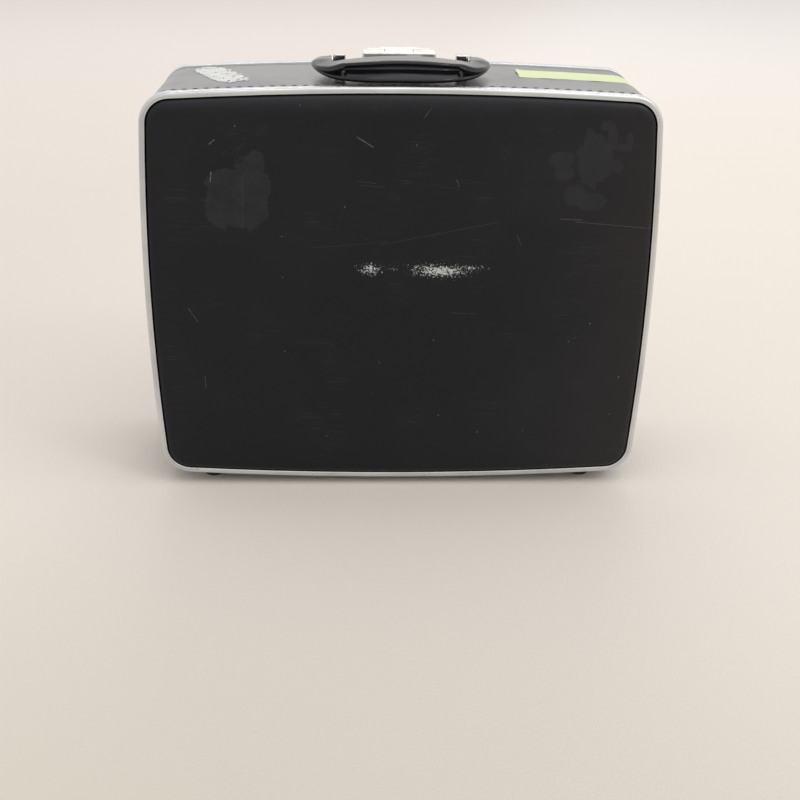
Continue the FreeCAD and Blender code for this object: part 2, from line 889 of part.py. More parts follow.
def handle_post(side):
    body = new_body("handle_post_" + side)
    centre = SIDES[side] * post_x
    base_top = post_seat + dim.post_base_thickness
    half_post, half_length = dim.post_width / 2, dim.post_base_length / 2
    block(
        body, "Additive", (centre - half_post, handle_y - half_length, post_seat),
        (centre + half_post, handle_y + half_length, base_top),
    )
    soften(body, dim.post_round, lambda edge: runs_along(edge, "z"))
    half_post_length = dim.post_length / 2
    top = handle_z + dim.post_above_pin
    block(
        body, "Additive", (centre - half_post, handle_y - half_post_length, base_top),
        (centre + half_post, handle_y + half_post_length, top),
    )
    soften(body, dim.post_round, lambda edge: runs_along(edge, "z") and edge.BoundBox.ZMax > (
        top.number - SAME))
    soften(body, dim.post_edge_round, lambda edge: lies_at(edge, "Z", top))
    pin_start = (centre - half_post - dim.overrun, handle_y, handle_z)
    rod(body, "Subtractive", pin_start, dim.handle_pin_radius + dim.bore_gap,
        dim.post_width + 2 * dim.overrun, "X")
    own = [place for place in post_rivet_places if place[0].number * SIDES[side] > 0]
    drill(body, "XY_Plane", top, own, rivet_hole, top - post_seat + dim.overrun)


def handle_fixings():
    half_width_x = post_x + dim.backing_side
    backing_top = top_height(lining_inner, half_width_x) - dim.fit_gap
    body = new_body("handle_backing_plate")
    half_length = dim.backing_length / 2
    block(
        body, "Additive",
        (-half_width_x, handle_y - half_length, backing_top - dim.backing_thickness),
        (half_width_x, handle_y + half_length, backing_top),
    )
    soften(body, dim.backing_round, lambda edge: runs_along(edge, "z"))
    drill(body, "XY_Plane", backing_top + dim.overrun, post_rivet_places, rivet_hole,
          dim.backing_thickness + 2 * dim.overrun)
    seat = post_seat + dim.post_base_thickness
    group("handle_post_rivets", [
        fastener(
            "handle_post_rivet", (x, y, seat), "Z", -1, SMALL_RIVET,
            (dim.rivet_radius, seat - backing_top + dim.backing_thickness),
        )
        for x, y in post_rivet_places
    ])
    start = arm_inner - dim.move_gap - dim.post_width + dim.handle_pin_head
    length = arm_outer - dim.handle_arm_radius - start
    group("handle_pins", [
        loose_rod(
            "handle_pin", (start if sign > 0 else -start - length, handle_y, handle_z),
            dim.handle_pin_radius, length, "X",
        )
        for sign in SIDES.values()
    ])


def handle_grip():
    """A crescent that lies folded to the front, with a long scoop in its front face."""
    body = new_body("handle_grip")
    mid_z = handle_z
    low = mid_z - dim.handle_thickness / 2
    high = mid_z + dim.handle_thickness / 2
    front = depth(handle_front)
    rear = depth(handle_depth - dim.handle_inner_reach)
    arm_end = handle_y + dim.handle_arm_end
    sketch = plane_sketch(body, "XY_Plane", low)
    draw_polygon(sketch, [
        (-arm_outer, front), (arm_outer, front), (arm_outer, arm_end), (arm_inner, arm_end),
        (arm_inner, rear), (-arm_inner, rear), (-arm_inner, arm_end), (-arm_outer, arm_end),
    ])
    extrude(body, "Pad", sketch, dim.handle_thickness)

    def upright_at(x, y):
        return lambda edge: (
            runs_along(edge, "z")
            and abs(abs(edge.BoundBox.XMin) - x.number) < SAME
            and abs(edge.BoundBox.YMin - y.number) < SAME
        )

    soften(body, dim.handle_corner_radius, upright_at(arm_outer, front))
    soften(body, dim.handle_inner_radius, upright_at(arm_inner, rear))
    soften(body, dim.handle_arm_radius, upright_at(arm_outer, arm_end))
    margin = arm_outer + dim.overrun
    for flat, apex, above in (
        (high + dim.overrun, high, False),
        (low - dim.overrun, low, True),
    ):
        bowed_cut(
            body, -margin, margin, flat, apex, handle_profile, above,
            handle_front - dim.overrun, dim.handle_reach + dim.handle_arm_end + 2 * dim.overrun,
        )
    soften(body, dim.handle_low_round, lambda edge: edge.BoundBox.ZMax < mid_z.number)
    soften(body, dim.handle_rim_round, lambda edge: edge.BoundBox.ZMin > mid_z.number and (
        edge.Curve.TypeId != "Part::GeomLine"))
    scoop_top = high - dim.scoop_rim
    scoop_low = scoop_top - dim.scoop_height
    back = front + dim.scoop_depth
    scoop_half = arm_outer - dim.scoop_end
    bowed_cut(
        body, -scoop_half, scoop_half, scoop_low, scoop_top, handle_profile - dim.scoop_rim,
        False, handle_front - dim.overrun, dim.scoop_depth + dim.overrun,
    )
    soften(body, dim.scoop_round, lambda edge: lies_at(edge, "Y", back))
    soften(body, dim.lip_round, lambda edge: lies_at(edge, "Z", scoop_low) and (
        edge.BoundBox.YMin < (front + dim.scoop_round).number))
    bore_start = (-margin, handle_y, handle_z)
    rod(body, "Subtractive", bore_start, dim.handle_pin_radius + dim.bore_gap, 2 * margin, "X")


# Latch on the deep shell

plate_low = top_height(dim.band_inset, ZERO) + dim.fit_gap
plate_top = plate_low + dim.latch_plate_thickness
housing_top = plate_top + dim.latch_height
bolt_y = depth(latch_front + dim.bolt_setback)
staple_x = dim.staple_inner_x + dim.staple_thickness
staple_z = housing_top - dim.hasp_thickness - dim.staple_height / 2
nose_x = staple_x + dim.move_gap
carriage_x = nose_x + dim.carriage_width
front_wall_y = depth(latch_front)
notch_y = depth(latch_front + dim.notch_setback)
cavity_end = latch_half - dim.latch_wall


def latch_base_plate():
    body = new_body("latch_base_plate")
    half = dim.latch_plate_width / 2
    block(
        body, "Additive",
        (-half, depth(latch_front - dim.latch_plate_margin), plate_low),
        (half, depth(latch_rear + dim.latch_plate_margin), plate_top),
    )
    soften(body, dim.latch_round, lambda edge: runs_along(edge, "z"))
    drill(body, "XY_Plane", plate_top + dim.overrun, latch_rivet_places, small_rivet_hole,
          dim.latch_plate_thickness + 2 * dim.overrun)
    group("latch_rivets", [
        fastener(
            "latch_rivet", (x, y, plate_top), "Z", -1, SMALL_RIVET,
            (dim.small_rivet_radius, plate_top - top_height(band_inner, x)),
        )
        for x, y in latch_rivet_places
    ])


def latch_housing():
    body = new_body("latch_housing")
    wall = dim.latch_wall
    rear_y = depth(latch_rear)
    block(
        body, "Additive", (-latch_half, front_wall_y, plate_top),
        (latch_half, rear_y, housing_top),
    )
    soften(body, dim.latch_round, lambda edge: runs_along(edge, "z"))
    soften(body, dim.latch_edge_round, lambda edge: lies_at(edge, "Z", housing_top))
    block(
        body, "Subtractive", (-cavity_end, front_wall_y + wall, plate_top - dim.overrun),
        (cavity_end, rear_y - wall, housing_top - wall),
    )
    half_notch = dim.hasp_tongue_width / 2 + dim.notch_gap
    block(
        body, "Subtractive", (-half_notch, notch_y, plate_top + dim.notch_floor_rise),
        (half_notch, rear_y + dim.overrun, housing_top + dim.overrun),
    )
    slot_low = staple_z - dim.button_stem_height / 2 - dim.move_gap
    slot_high = staple_z + dim.button_stem_height / 2 + dim.move_gap
    block(
        body, "Subtractive",
        (nose_x - dim.move_gap, front_wall_y - dim.overrun, slot_low),
        (carriage_x + dim.button_travel + dim.move_gap, front_wall_y + dim.overrun, slot_high),
    )


def latch_slide():
    """Thumb piece in front of the housing, and the spring bolt that it carries inside."""
    body = new_body("slide_button")
    thumb_back = front_wall_y - dim.move_gap
    thumb_front = thumb_back - dim.button_reach
    middle_x = nose_x + dim.carriage_width / 2
    stem_half = dim.button_stem_height / 2
    carriage_front = bolt_y - dim.carriage_length / 2
    block(
        body, "Additive",
        (middle_x - dim.button_width / 2, thumb_front, staple_z - dim.button_height / 2),
        (middle_x + dim.button_width / 2, thumb_back, staple_z + dim.button_height / 2),
    )
    soften(body, dim.button_round, lambda edge: not lies_at(edge, "Y", thumb_back))
    block(
        body, "Additive", (nose_x, thumb_back, staple_z - stem_half),
        (carriage_x, carriage_front, staple_z + stem_half),
    )
    body = new_body("latch_bolt")
    half_height_z = dim.carriage_height / 2
    block(
        body, "Additive", (nose_x + dim.bolt_radius, carriage_front, staple_z - half_height_z),
        (carriage_x, bolt_y + dim.carriage_length / 2, staple_z + half_height_z),
    )
    rod(body, "Additive", (nose_x, bolt_y, staple_z), dim.bolt_radius, dim.bolt_radius, "X")
    soften(body, dim.button_round, lambda edge: lies_at(edge, "X", nose_x))


def latch_spring():
    """A small coil between the bolt and the end wall of the housing."""
    body = new_body("latch_spring")
    start = carriage_x + dim.spring_wire + dim.fit_gap
    length = cavity_end - carriage_x - 2 * (dim.spring_wire + dim.fit_gap)
    sketch = plane_sketch(body, "XY_Plane", ZERO)
    draw_circle(sketch, ZERO, dim.spring_radius, dim.spring_wire)
    coil = body.newObject("PartDesign::AdditiveHelix", "spring_coil")
    coil.Profile = sketch
    coil.ReferenceAxis = (sketch, ["H_Axis"])
    coil.Mode = "pitch-height-angle"
    bind(coil, Pitch=length / dim.spring_turns, Height=length)
    bind(body, Placement__Base__x=start, Placement__Base__y=bolt_y, Placement__Base__z=staple_z)
    doc.recompute()


# Hasp on the rear shell

hasp_y = depth(hasp_axis)
hasp_z = housing_top - dim.hasp_axis_drop
bracket_low = top_height(dim.valance_inset, ZERO) + dim.fit_gap
bracket_top = bracket_low + dim.bracket_thickness
lug_x = dim.hasp_neck_width / 2 + dim.move_gap


def hasp_plate():
    body = new_body("hasp_plate")
    tip = notch_y + dim.move_gap + dim.fit_gap
    wing_front = depth(latch_rear) + dim.move_gap + dim.fit_gap
    wing_back = wing_front + dim.hasp_wing_length
    half_tongue, half_wing = dim.hasp_tongue_width / 2, latch_half - dim.hasp_wing_side
    half_neck = dim.hasp_neck_width / 2
    low = housing_top - dim.hasp_thickness
    sketch = plane_sketch(body, "XY_Plane", low)
    right_side = [
        (half_tongue, tip), (half_tongue, wing_front), (half_wing, wing_front),
        (half_wing, wing_back), (half_neck, wing_back), (half_neck, hasp_y),
    ]
    draw_polygon(sketch, right_side + [(-x, y) for x, y in reversed(right_side)])
    extrude(body, "Pad", sketch, dim.hasp_thickness)
    soften(body, dim.hasp_round, lambda edge: runs_along(edge, "z") and (
        abs(abs(edge.BoundBox.XMin) - half_wing.number) < SAME))
    rod(body, "Additive", (-half_neck, hasp_y, hasp_z), dim.hasp_barrel_radius,
        dim.hasp_neck_width, "X")
    soften(body, dim.button_round, lambda edge: lies_at(edge, "Z", housing_top) and (
        runs_along(edge, "x")) and edge.BoundBox.YMin < wing_front.number)
    half_staple = dim.staple_length / 2
    block(
        body, "Additive", (dim.staple_inner_x, bolt_y - half_staple, low - dim.staple_height),
        (staple_x, bolt_y + half_staple, low),
    )
    rod(body, "Subtractive", (dim.staple_inner_x - dim.overrun, bolt_y, staple_z),
        dim.bolt_radius + dim.bore_gap, 2 * dim.overrun + dim.staple_thickness, "X")
    rod(body, "Subtractive", (-half_neck - dim.overrun, hasp_y, hasp_z),
        dim.hasp_pin_radius + dim.bore_gap, dim.hasp_neck_width + 2 * dim.overrun, "X")


def hasp_bracket():
    body = new_body("hasp_bracket")
    half = dim.bracket_width / 2
    half_length = dim.bracket_length / 2
    block(
        body, "Additive", (-half, hasp_y - half_length, bracket_low),
        (half, hasp_y + half_length, bracket_top),
    )
    soften(body, dim.hasp_round, lambda edge: runs_along(edge, "z"))
    for start in (lug_x, -lug_x - dim.lug_thickness):
        block(
            body, "Additive", (start, hasp_y - dim.lug_radius, bracket_low),
            (start + dim.lug_thickness, hasp_y + dim.lug_radius, hasp_z),
        )
        rod(body, "Additive", (start, hasp_y, hasp_z), dim.lug_radius, dim.lug_thickness, "X")
    length = 2 * (lug_x + dim.lug_thickness)
    rod(body, "Subtractive", (-length, hasp_y, hasp_z), dim.hasp_pin_radius + dim.bore_gap,
        2 * length, "X")
    drill(body, "XY_Plane", bracket_top + dim.overrun, bracket_rivet_places, small_rivet_hole,
          dim.bracket_thickness + 2 * dim.overrun)
    pin = loose_rod("hasp_pin", (-length / 2, hasp_y, hasp_z), dim.hasp_pin_radius, length, "X")
    keep(pin, "hasp_pin")
    group("hasp_bracket_rivets", [
        fastener(
            "hasp_bracket_rivet", (x, y, bracket_top), "Z", -1, SMALL_RIVET,
            (dim.small_rivet_radius, bracket_top - top_height(dim.frame_width, x)),
        )
        for x, y in bracket_rivet_places
    ])


# Shallow rear shell

def base_frame():
    body = new_body("base_frame")
    ring(body, dim.valance_inset, dim.frame_width, base_front, dim.case_depth)
    ring(body, dim.frame_width, dim.frame_width + dim.lip_width,
         dim.case_depth - dim.lip_thickness, dim.case_depth)
    soften(body, dim.base_round, lambda edge: on_outline(edge, dim.case_depth, dim.valance_inset))
    soften(body, dim.bead_round, lambda edge: on_outline(edge, base_front, dim.valance_inset))
    low = bottom_height(ZERO, ZERO) - dim.overrun
    top = top_height(ZERO, ZERO) + dim.overrun
    drill(body, "XY_Plane", low, base_rivet_places, rivet_hole,
          dim.frame_width + 3 * dim.overrun, True)
    drill(body, "XY_Plane", top, bracket_rivet_places, small_rivet_hole,
          dim.frame_width + 2 * dim.overrun)


def base_panels():
    inset = dim.frame_width + dim.fit_gap
    body = new_body("base_board")
    slab(body, inset, board_front, board_back)
    length = dim.board_thickness + 2 * dim.overrun
    start = -depth(board_front - dim.overrun)
    drill(body, "XZ_Plane", start, back_foot_places, screw_hole, length)
    drill(body, "XZ_Plane", start, hook_rivet_places, rivet_hole, length)
    body = new_body("base_lining")
    slab(body, inset, base_lining_front, board_front - dim.fit_gap)
    drill(body, "XZ_Plane", -depth(base_lining_front - dim.overrun), hook_rivet_places,
          rivet_hole, dim.lining_thickness + 2 * dim.overrun)


def back_feet():
    members = []
    seat = board_back + dim.fit_gap
    height = dim.case_depth + dim.back_foot_height - seat
    recess = dim.screw_recess + dim.screw_head_height
    for x, z in back_foot_places:
        foot = doc.addObject("Part::Cone", "back_foot")
        foot.Placement = FreeCAD.Placement(FreeCAD.Vector(), TURNS["Y"])
        bind(
            foot, Radius1=dim.back_foot_radius, Radius2=dim.back_foot_end_radius, Height=height,
            Placement__Base__x=x, Placement__Base__y=depth(seat), Placement__Base__z=z,
        )
        head = loose_rod(
            "back_foot_recess", (x, depth(seat + height - recess), z),
            dim.screw_head_radius + dim.move_gap, recess + dim.overrun, "Y",
        )
        hole = loose_rod("back_foot_hole", (x, depth(seat - dim.overrun), z), screw_hole,
                         height + dim.overrun, "Y")
        tools = doc.addObject("Part::MultiFuse", "back_foot_tools")
        tools.Shapes = [head, hole]
        cut = doc.addObject("Part::Cut", "drilled_back_foot")
        cut.Base, cut.Tool = foot, tools
        members.append(cut)
    group("back_feet", members)
    screw_seat = seat + height - recess
    group("back_foot_screws", [
        fastener(
            "back_foot_screw", (x, depth(screw_seat), z), "Y", -1,
            (dim.screw_head_radius, dim.screw_head_height),
            (dim.screw_radius, screw_seat - board_front),
        )
        for x, z in back_foot_places
    ])


# Hold-downs for the machine, inside the rear shell

def typewriter_hook(side):
    """A bent steel hook that takes one front foot of the machine."""
    body = new_body("typewriter_hook_" + side)
    centre = SIDES[side] * hook_x
    left, right = centre - dim.hook_width / 2, centre + dim.hook_width / 2
    low = middle_z - half_height + dim.hook_rise
    back = base_lining_front - dim.fit_gap
    plate = dim.hook_plate_thickness
    block(
        body, "Additive", (left, depth(back - plate), low),
        (right, depth(back), low + dim.hook_plate_length),
    )
    block(
        body, "Additive", (left, depth(back - dim.hook_reach), low - plate),
        (right, depth(back), low),
    )
    block(
        body, "Additive", (left, depth(back - dim.hook_reach), low),
        (right, depth(back - dim.hook_reach + plate), low + dim.hook_lip),
    )
    soften(body, plate / 2, lambda edge: runs_along(edge, "x") and (
        edge.BoundBox.ZMin < (low - plate).number + SAME))
    own = [place for place in hook_rivet_places if place[0].number * SIDES[side] > 0]
    drill(body, "XZ_Plane", -depth(back - plate - dim.overrun), own, rivet_hole,
          plate + 2 * dim.overrun)


def hook_rivets():
    seat = base_lining_front - dim.fit_gap - dim.hook_plate_thickness
    group("hook_rivets", [
        fastener(
            "hook_rivet", (x, depth(seat), z), "Y", 1, RIVET,
            (dim.rivet_radius, board_back - seat),
        )
        for x, z in hook_rivet_places
    ])


flange_back = base_lining_front - dim.fit_gap
flange_front = flange_back - dim.clamp_flange_thickness
shoulder_front = flange_front - dim.clamp_standoff
arm_back = shoulder_front - dim.move_gap
arm_front = arm_back - dim.clamp_arm_thickness
cap_back = arm_front - dim.move_gap
cap_front = cap_back - dim.clamp_cap_thickness


def swivel_clamp(side):
    x, z = clamp_places[list(SIDES).index(side)]
    inwards = -SIDES[side]
    stud = new_body("clamp_stud_" + side)
    for start, end, radius in (
        (flange_front, flange_back, dim.clamp_flange_radius),
        (shoulder_front, flange_front, dim.clamp_shoulder_radius),
        (cap_back, shoulder_front, dim.clamp_stud_radius),
        (cap_front, cap_back, dim.clamp_cap_radius),
    ):
        rod(stud, "Additive", (x, depth(start), z), radius, end - start, "Y")
    soften(stud, dim.button_round, lambda edge: lies_at(edge, "Y", depth(cap_front)))
    arm = new_body("clamp_arm_" + side)
    tip = x + inwards * dim.clamp_arm_length
    left, right = (x, tip) if inwards > 0 else (tip, x)
    half = dim.clamp_arm_width / 2
    block(
        arm, "Additive", (left, depth(arm_front), z - half), (right, depth(arm_back), z + half),
    )
    for end in (x, tip):
        rod(arm, "Additive", (end, depth(arm_front), z), half, dim.clamp_arm_thickness, "Y")
    rod(arm, "Subtractive", (x, depth(arm_front - dim.overrun), z),
        dim.clamp_stud_radius + dim.bore_gap, dim.clamp_arm_thickness + 2 * dim.overrun, "Y")
    pad = loose_rod(
        "clamp_pad_" + side, (tip, depth(arm_back), z), dim.clamp_pad_radius,
        dim.clamp_pad_thickness, "Y",
    )
    keep(pad, "clamp_pad_" + side)


front_frame()
front_panel()
side_band()
lid_valance()
linings()
standing_feet()
for name in SIDES:
    hinge(name)
    handle_post(name)
    typewriter_hook(name)
    swivel_clamp(name)
hinge_rivets()
handle_fixings()
handle_grip()
latch_base_plate()
latch_housing()
latch_slide()
latch_spring()
hasp_plate()
hasp_bracket()
base_frame()
base_panels()
back_feet()
hook_rivets()
doc.recompute()

faults = [
    "%s: %s" % (item.Label, ", ".join(item.State))
    for item in doc.Objects
    if "Invalid" in item.State or "Error" in item.State
]
for piece in pieces:
    if piece.Shape.isNull() or not piece.Shape.isValid() or not piece.Shape.Solids:
        faults.append("%s: shape is null, invalid or empty" % piece.Label)
if faults:
    raise RuntimeError("; ".join(faults))

os.makedirs("parts", exist_ok=True)
for piece in pieces:
    piece.Shape.exportStep(os.path.join("parts", piece.Label + ".step"))
    print("%-24s %2d solids %10.1f mm3" % (
        piece.Label, len(piece.Shape.Solids), piece.Shape.Volume))
print(len(pieces), "sub-parts")
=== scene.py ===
import json
import math

import bmesh
import bpy
from mathutils import Matrix, Vector, noise


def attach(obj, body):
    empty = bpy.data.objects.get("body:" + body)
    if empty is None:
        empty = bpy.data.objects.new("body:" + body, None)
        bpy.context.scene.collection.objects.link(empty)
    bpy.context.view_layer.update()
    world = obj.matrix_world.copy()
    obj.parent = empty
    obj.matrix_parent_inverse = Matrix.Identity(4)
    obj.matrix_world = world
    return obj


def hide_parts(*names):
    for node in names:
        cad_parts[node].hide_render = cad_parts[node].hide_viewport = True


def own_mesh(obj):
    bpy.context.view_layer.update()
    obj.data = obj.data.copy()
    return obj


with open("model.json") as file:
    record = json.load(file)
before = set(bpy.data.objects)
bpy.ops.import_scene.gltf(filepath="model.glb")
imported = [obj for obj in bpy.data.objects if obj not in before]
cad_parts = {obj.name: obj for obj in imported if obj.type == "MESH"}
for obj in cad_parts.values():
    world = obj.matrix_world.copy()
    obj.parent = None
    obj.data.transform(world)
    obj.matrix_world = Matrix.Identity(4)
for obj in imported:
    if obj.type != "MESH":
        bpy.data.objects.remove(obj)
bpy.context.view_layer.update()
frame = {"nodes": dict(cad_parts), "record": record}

nodes = frame["nodes"]
print("frame loaded:", len(nodes), "nodes")

# The case's own outline, in metres, as its maker would lay it out
caseShape = {
    "halfWidth": 0.195,
    "halfHeight": 0.157,
    "middleZ": 0.163,
    "sideBow": 0.0064,
    "topBow": 0.0065,
    "corner": 0.023,
    "bandInset": 0.0012,
}


def bowRadius(half, bow):
    return (half * half + bow * bow) / (2 * bow)


def caseOutline(inset, step=0.001):
    # points round the bowed rectangle, from the middle of the right side, with outward directions
    side = bowRadius(caseShape["halfHeight"], caseShape["sideBow"])
    top = bowRadius(caseShape["halfWidth"], caseShape["topBow"])
    corner = caseShape["corner"]
    across, up = side - caseShape["halfWidth"], top - caseShape["halfHeight"]
    span = math.hypot(across, up)
    along = ((side - corner) ** 2 - (top - corner) ** 2 + span ** 2) / (2 * span)
    lateral = math.sqrt((side - corner) ** 2 - along ** 2)
    cornerX = -across + (along * across + lateral * up) / span
    cornerZ = (lateral * across - along * up) / span
    sideAngle = math.atan2(cornerZ, cornerX + across)
    topAngle = math.atan2(cornerZ + up, cornerX)
    quarter = math.pi / 2
    arcs = []
    for turn in range(4):
        facing = turn * quarter
        signX, signZ = ((1, 1), (-1, 1), (-1, -1), (1, -1))[turn]
        if turn % 2 == 0:
            centre = (-across if turn == 0 else across, 0)
            radius, half = side - inset, sideAngle
            start, end = sideAngle, topAngle
        else:
            centre = (0, -up if turn == 1 else up)
            radius, half = top - inset, quarter - topAngle
            start, end = quarter - topAngle, quarter - sideAngle
        arcs.append((centre, radius, facing - half, facing + half))
        arcs.append(((signX * cornerX, signZ * cornerZ), corner - inset, facing + start, facing + end))
    first = arcs[0]
    arcs[0] = (first[0], first[1], 0, first[3])
    arcs.append((first[0], first[1], first[2], 0))
    points = []
    for centre, radius, start, end in arcs:
        count = max(2, round(radius * (end - start) / step))
        for number in range(count):
            angle = start + (end - start) * number / count
            out = (math.cos(angle), math.sin(angle))
            x, z = centre[0] + radius * out[0], centre[1] + radius * out[1]
            points.append((x, caseShape["middleZ"] + z, out))
    return points


class Path:  # the outline as a line that can be asked for its place at any length
    def __init__(self, inset):
        self.points = caseOutline(inset)
        self.lengths = [0]
        for before, after in zip(self.points, self.points[1:] + self.points[:1]):
            self.lengths.append(self.lengths[-1] + math.hypot(after[0] - before[0], after[1] - before[1]))
        self.total = self.lengths[-1]

    def at(self, length):
        length %= self.total
        low, high = 0, len(self.points)
        while high - low > 1:
            middle = (low + high) // 2
            if self.lengths[middle] <= length:
                low = middle
            else:
                high = middle
        before = self.points[low]
        after = self.points[(low + 1) % len(self.points)]
        share = (length - self.lengths[low]) / (self.lengths[low + 1] - self.lengths[low])
        x, z = (before[axis] + (after[axis] - before[axis]) * share for axis in (0, 1))
        out = Vector((before[2][0] + (after[2][0] - before[2][0]) * share, 0,
                      before[2][1] + (after[2][1] - before[2][1]) * share)).normalized()
        return Vector((x, 0, z)), out

    def nearest(self, x, z):
        # length along the outline of the point nearest to a place
        best = min(range(len(self.points)),
                   key=lambda number: (self.points[number][0] - x) ** 2 + (self.points[number][1] - z) ** 2)
        return self.lengths[best]


bandPath = Path(caseShape["bandInset"])
outerPath = Path(0)
ringCount = 620


def ringAt(inset, y):
    # one loop of points round the case, at an inset from its outline
    points = []
    for number in range(ringCount):
        place, out = outerPath.at(number * outerPath.total / ringCount)
        points.append(place - out * inset + Vector((0, y, 0)))
    return points


def loopOf(mesh, points):
    return [mesh.verts.new(point) for point in points]


def bridge(mesh, first, second):
    for number in range(len(first)):
        after = (number + 1) % len(first)
        mesh.faces.new((first[number], first[after], second[after], second[number]))


def skin(mesh, loops, ends=True):
    # faces between loops in a row, which end in two caps or else close on themselves
    for before, after in zip(loops, loops[1:] if ends else loops[1:] + loops[:1]):
        bridge(mesh, before, after)
    if ends:
        mesh.faces.new(loops[-1])
        mesh.faces.new(loops[0])


def outward(mesh):
    bmesh.ops.recalc_face_normals(mesh, faces=mesh.faces)
    return mesh


def closeIn(mesh, loops, rim, y, steps, first=0):
    # copies of a rim that close in on the middle of a face
    middle = Vector((0, y, caseShape["middleZ"]))
    for step in range(first, steps):
        loops.append(loopOf(mesh, [middle + (point - middle) * (1 - step / steps) for point in rim]))


def tubeRing(mesh, centre, across, up, radius):
    angles = [side * math.pi / 4 for side in range(8)]
    return loopOf(mesh, [centre + across * (math.cos(angle) * radius) + up * (math.sin(angle) * radius)
                         for angle in angles])


def quarterTurn(steps):
    # cosines and sines from 0 to 90 degrees
    angles = [step / steps * math.pi / 2 for step in range(steps + 1)]
    return [(math.cos(angle), math.sin(angle)) for angle in angles]


def smooth(value, low, high):
    share = min(1, max(0, (value - low) / (high - low)))
    return share * share * (3 - 2 * share)


def sway(x, z, reach, size, seed):
    # a slow wander over a flat face, between 0 and size
    return size * (0.5 + 0.5 * noise.noise(Vector((x / reach, seed, z / reach))))


class Wire:  # one socket of a material's nodes; arithmetic on it adds nodes
    def __init__(self, tree, socket=None):
        self.tree = tree
        self.socket = socket

    def node(self, kind, settings=None, sockets=None, output=0):
        made = self.tree.nodes.new("ShaderNode" + kind)
        for name, value in (settings or {}).items():
            setattr(made, name, value)
        for name, value in (sockets or {}).items():
            if isinstance(value, Wire):
                self.tree.links.new(value.socket, made.inputs[name])
            else:
                made.inputs[name].default_value = value
        return Wire(self.tree, made.outputs[output] if made.outputs else None)

    def kindOf(self, item):
        if isinstance(item, Wire):
            return item.socket.type
        return "VALUE" if isinstance(item, (int, float)) else "VECTOR"

    def combine(self, operation, first, second):
        kinds = (self.kindOf(first), self.kindOf(second))
        if "RGBA" in kinds:
            first, second = (self.asColour(item) for item in (first, second))
            return self.node("Mix", {"data_type": "RGBA", "blend_type": operation},
                             {0: 1.0, 6: first, 7: second}, 2)
        if kinds == ("VALUE", "VALUE"):
            return self.node("Math", {"operation": operation}, {0: first, 1: second})
        if operation == "MULTIPLY" and "VALUE" in kinds:
            vector, share = (first, second) if kinds[1] == "VALUE" else (second, first)
            return self.node("VectorMath", {"operation": "SCALE"}, {0: vector, 3: share})
        return self.node("VectorMath", {"operation": operation}, {0: first, 1: second})

    def asColour(self, item):
        if isinstance(item, (int, float)):
            return (item, item, item, 1)
        if isinstance(item, tuple) and len(item) == 3:
            return (*item, 1)
        return item

    def __add__(self, other):
        return self.combine("ADD", self, other)

    def __radd__(self, other):
        return self.combine("ADD", other, self)

    def __sub__(self, other):
        return self.combine("SUBTRACT", self, other)

    def __rsub__(self, other):
        return self.combine("SUBTRACT", other, self)

    def __mul__(self, other):
        return self.combine("MULTIPLY", self, other)

    def __rmul__(self, other):
        return self.combine("MULTIPLY", other, self)

    def __truediv__(self, other):
        return self.combine("DIVIDE", self, other)

    def most(self, other):
        return self.node("Math", {"operation": "MAXIMUM"}, {0: self, 1: other})

    def least(self, other):
        return self.node("Math", {"operation": "MINIMUM"}, {0: self, 1: other})

    def size(self):  # of a number, without its sign
        return self.node("Math", {"operation": "ABSOLUTE"}, {0: self})

    def fade(self, low, high):  # 0 at low, 1 at high, smooth between
        settings = {"interpolation_type": "SMOOTHSTEP"}
        return self.node("MapRange", settings, {0: self, 1: low, 2: high, 3: 0.0, 4: 1.0})

    def axes(self):
        split = self.node("SeparateXYZ", sockets={0: self})
        return [Wire(self.tree, split.socket.node.outputs[number]) for number in range(3)]

    def vector(self, x, y, z):
        return self.node("CombineXYZ", sockets={0: x, 1: y, 2: z})

    def length(self):
        return self.node("VectorMath", {"operation": "LENGTH"}, {0: self}, "Value")

    def dot(self, other):
        return self.node("VectorMath", {"operation": "DOT_PRODUCT"}, {0: self, 1: other}, "Value")

    def cloud(self, scale, detail=2.0, rough=0.5, bend=0.0):
        sockets = {"Vector": self, "Scale": scale, "Detail": detail, "Roughness": rough, "Distortion": bend}
        return self.node("TexNoise", sockets=sockets)

    def cells(self, scale, output="Distance", feature="F1"):
        sockets = {"Vector": self, "Scale": scale}
        return self.node("TexVoronoi", {"feature": feature}, sockets, output)

    def stretch(self, x, y, z, turn=0.0):
        # the place scaled along the axes after a turn about Y, for marks that run one way
        sockets = {"Vector": self, "Rotation": (0, turn, 0), "Scale": (x, y, z)}
        return self.node("Mapping", {"vector_type": "TEXTURE"}, sockets)

    def blend(self, first, second):  # this wire is the share of the second colour
        sockets = {0: self, 6: self.asColour(first), 7: self.asColour(second)}
        return self.node("Mix", {"data_type": "RGBA"}, sockets, 2)

    def bump(self, distance):
        return self.node("Bump", sockets={"Height": self, "Strength": 1.0, "Distance": distance})


def newMaterial(name, paint, **constants):
    material = bpy.data.materials.new(name)
    material.use_nodes = True
    tree = material.node_tree
    tree.nodes.clear()
    place = Wire(tree).node("TexCoord", output="Object")
    sockets = paint(place)
    sockets.update(constants)
    shader = place.node("BsdfPrincipled", sockets=sockets)
    place.node("OutputMaterial", sockets={"Surface": shader})
    return material


def lineMark(place, start, end, width):
    # 1 on a straight scratch between two (x, z) places on the front, fading over its width
    first = (start[0], 0, start[1])
    run = (end[0] - start[0], 0, end[1] - start[1])
    reach = run[0] ** 2 + run[2] ** 2
    flat = place * (1, 0, 1) - first
    share = (flat.dot(run) / reach).least(1.0).most(0.0)
    return (flat - share * run).length().fade(width, width * 0.3)


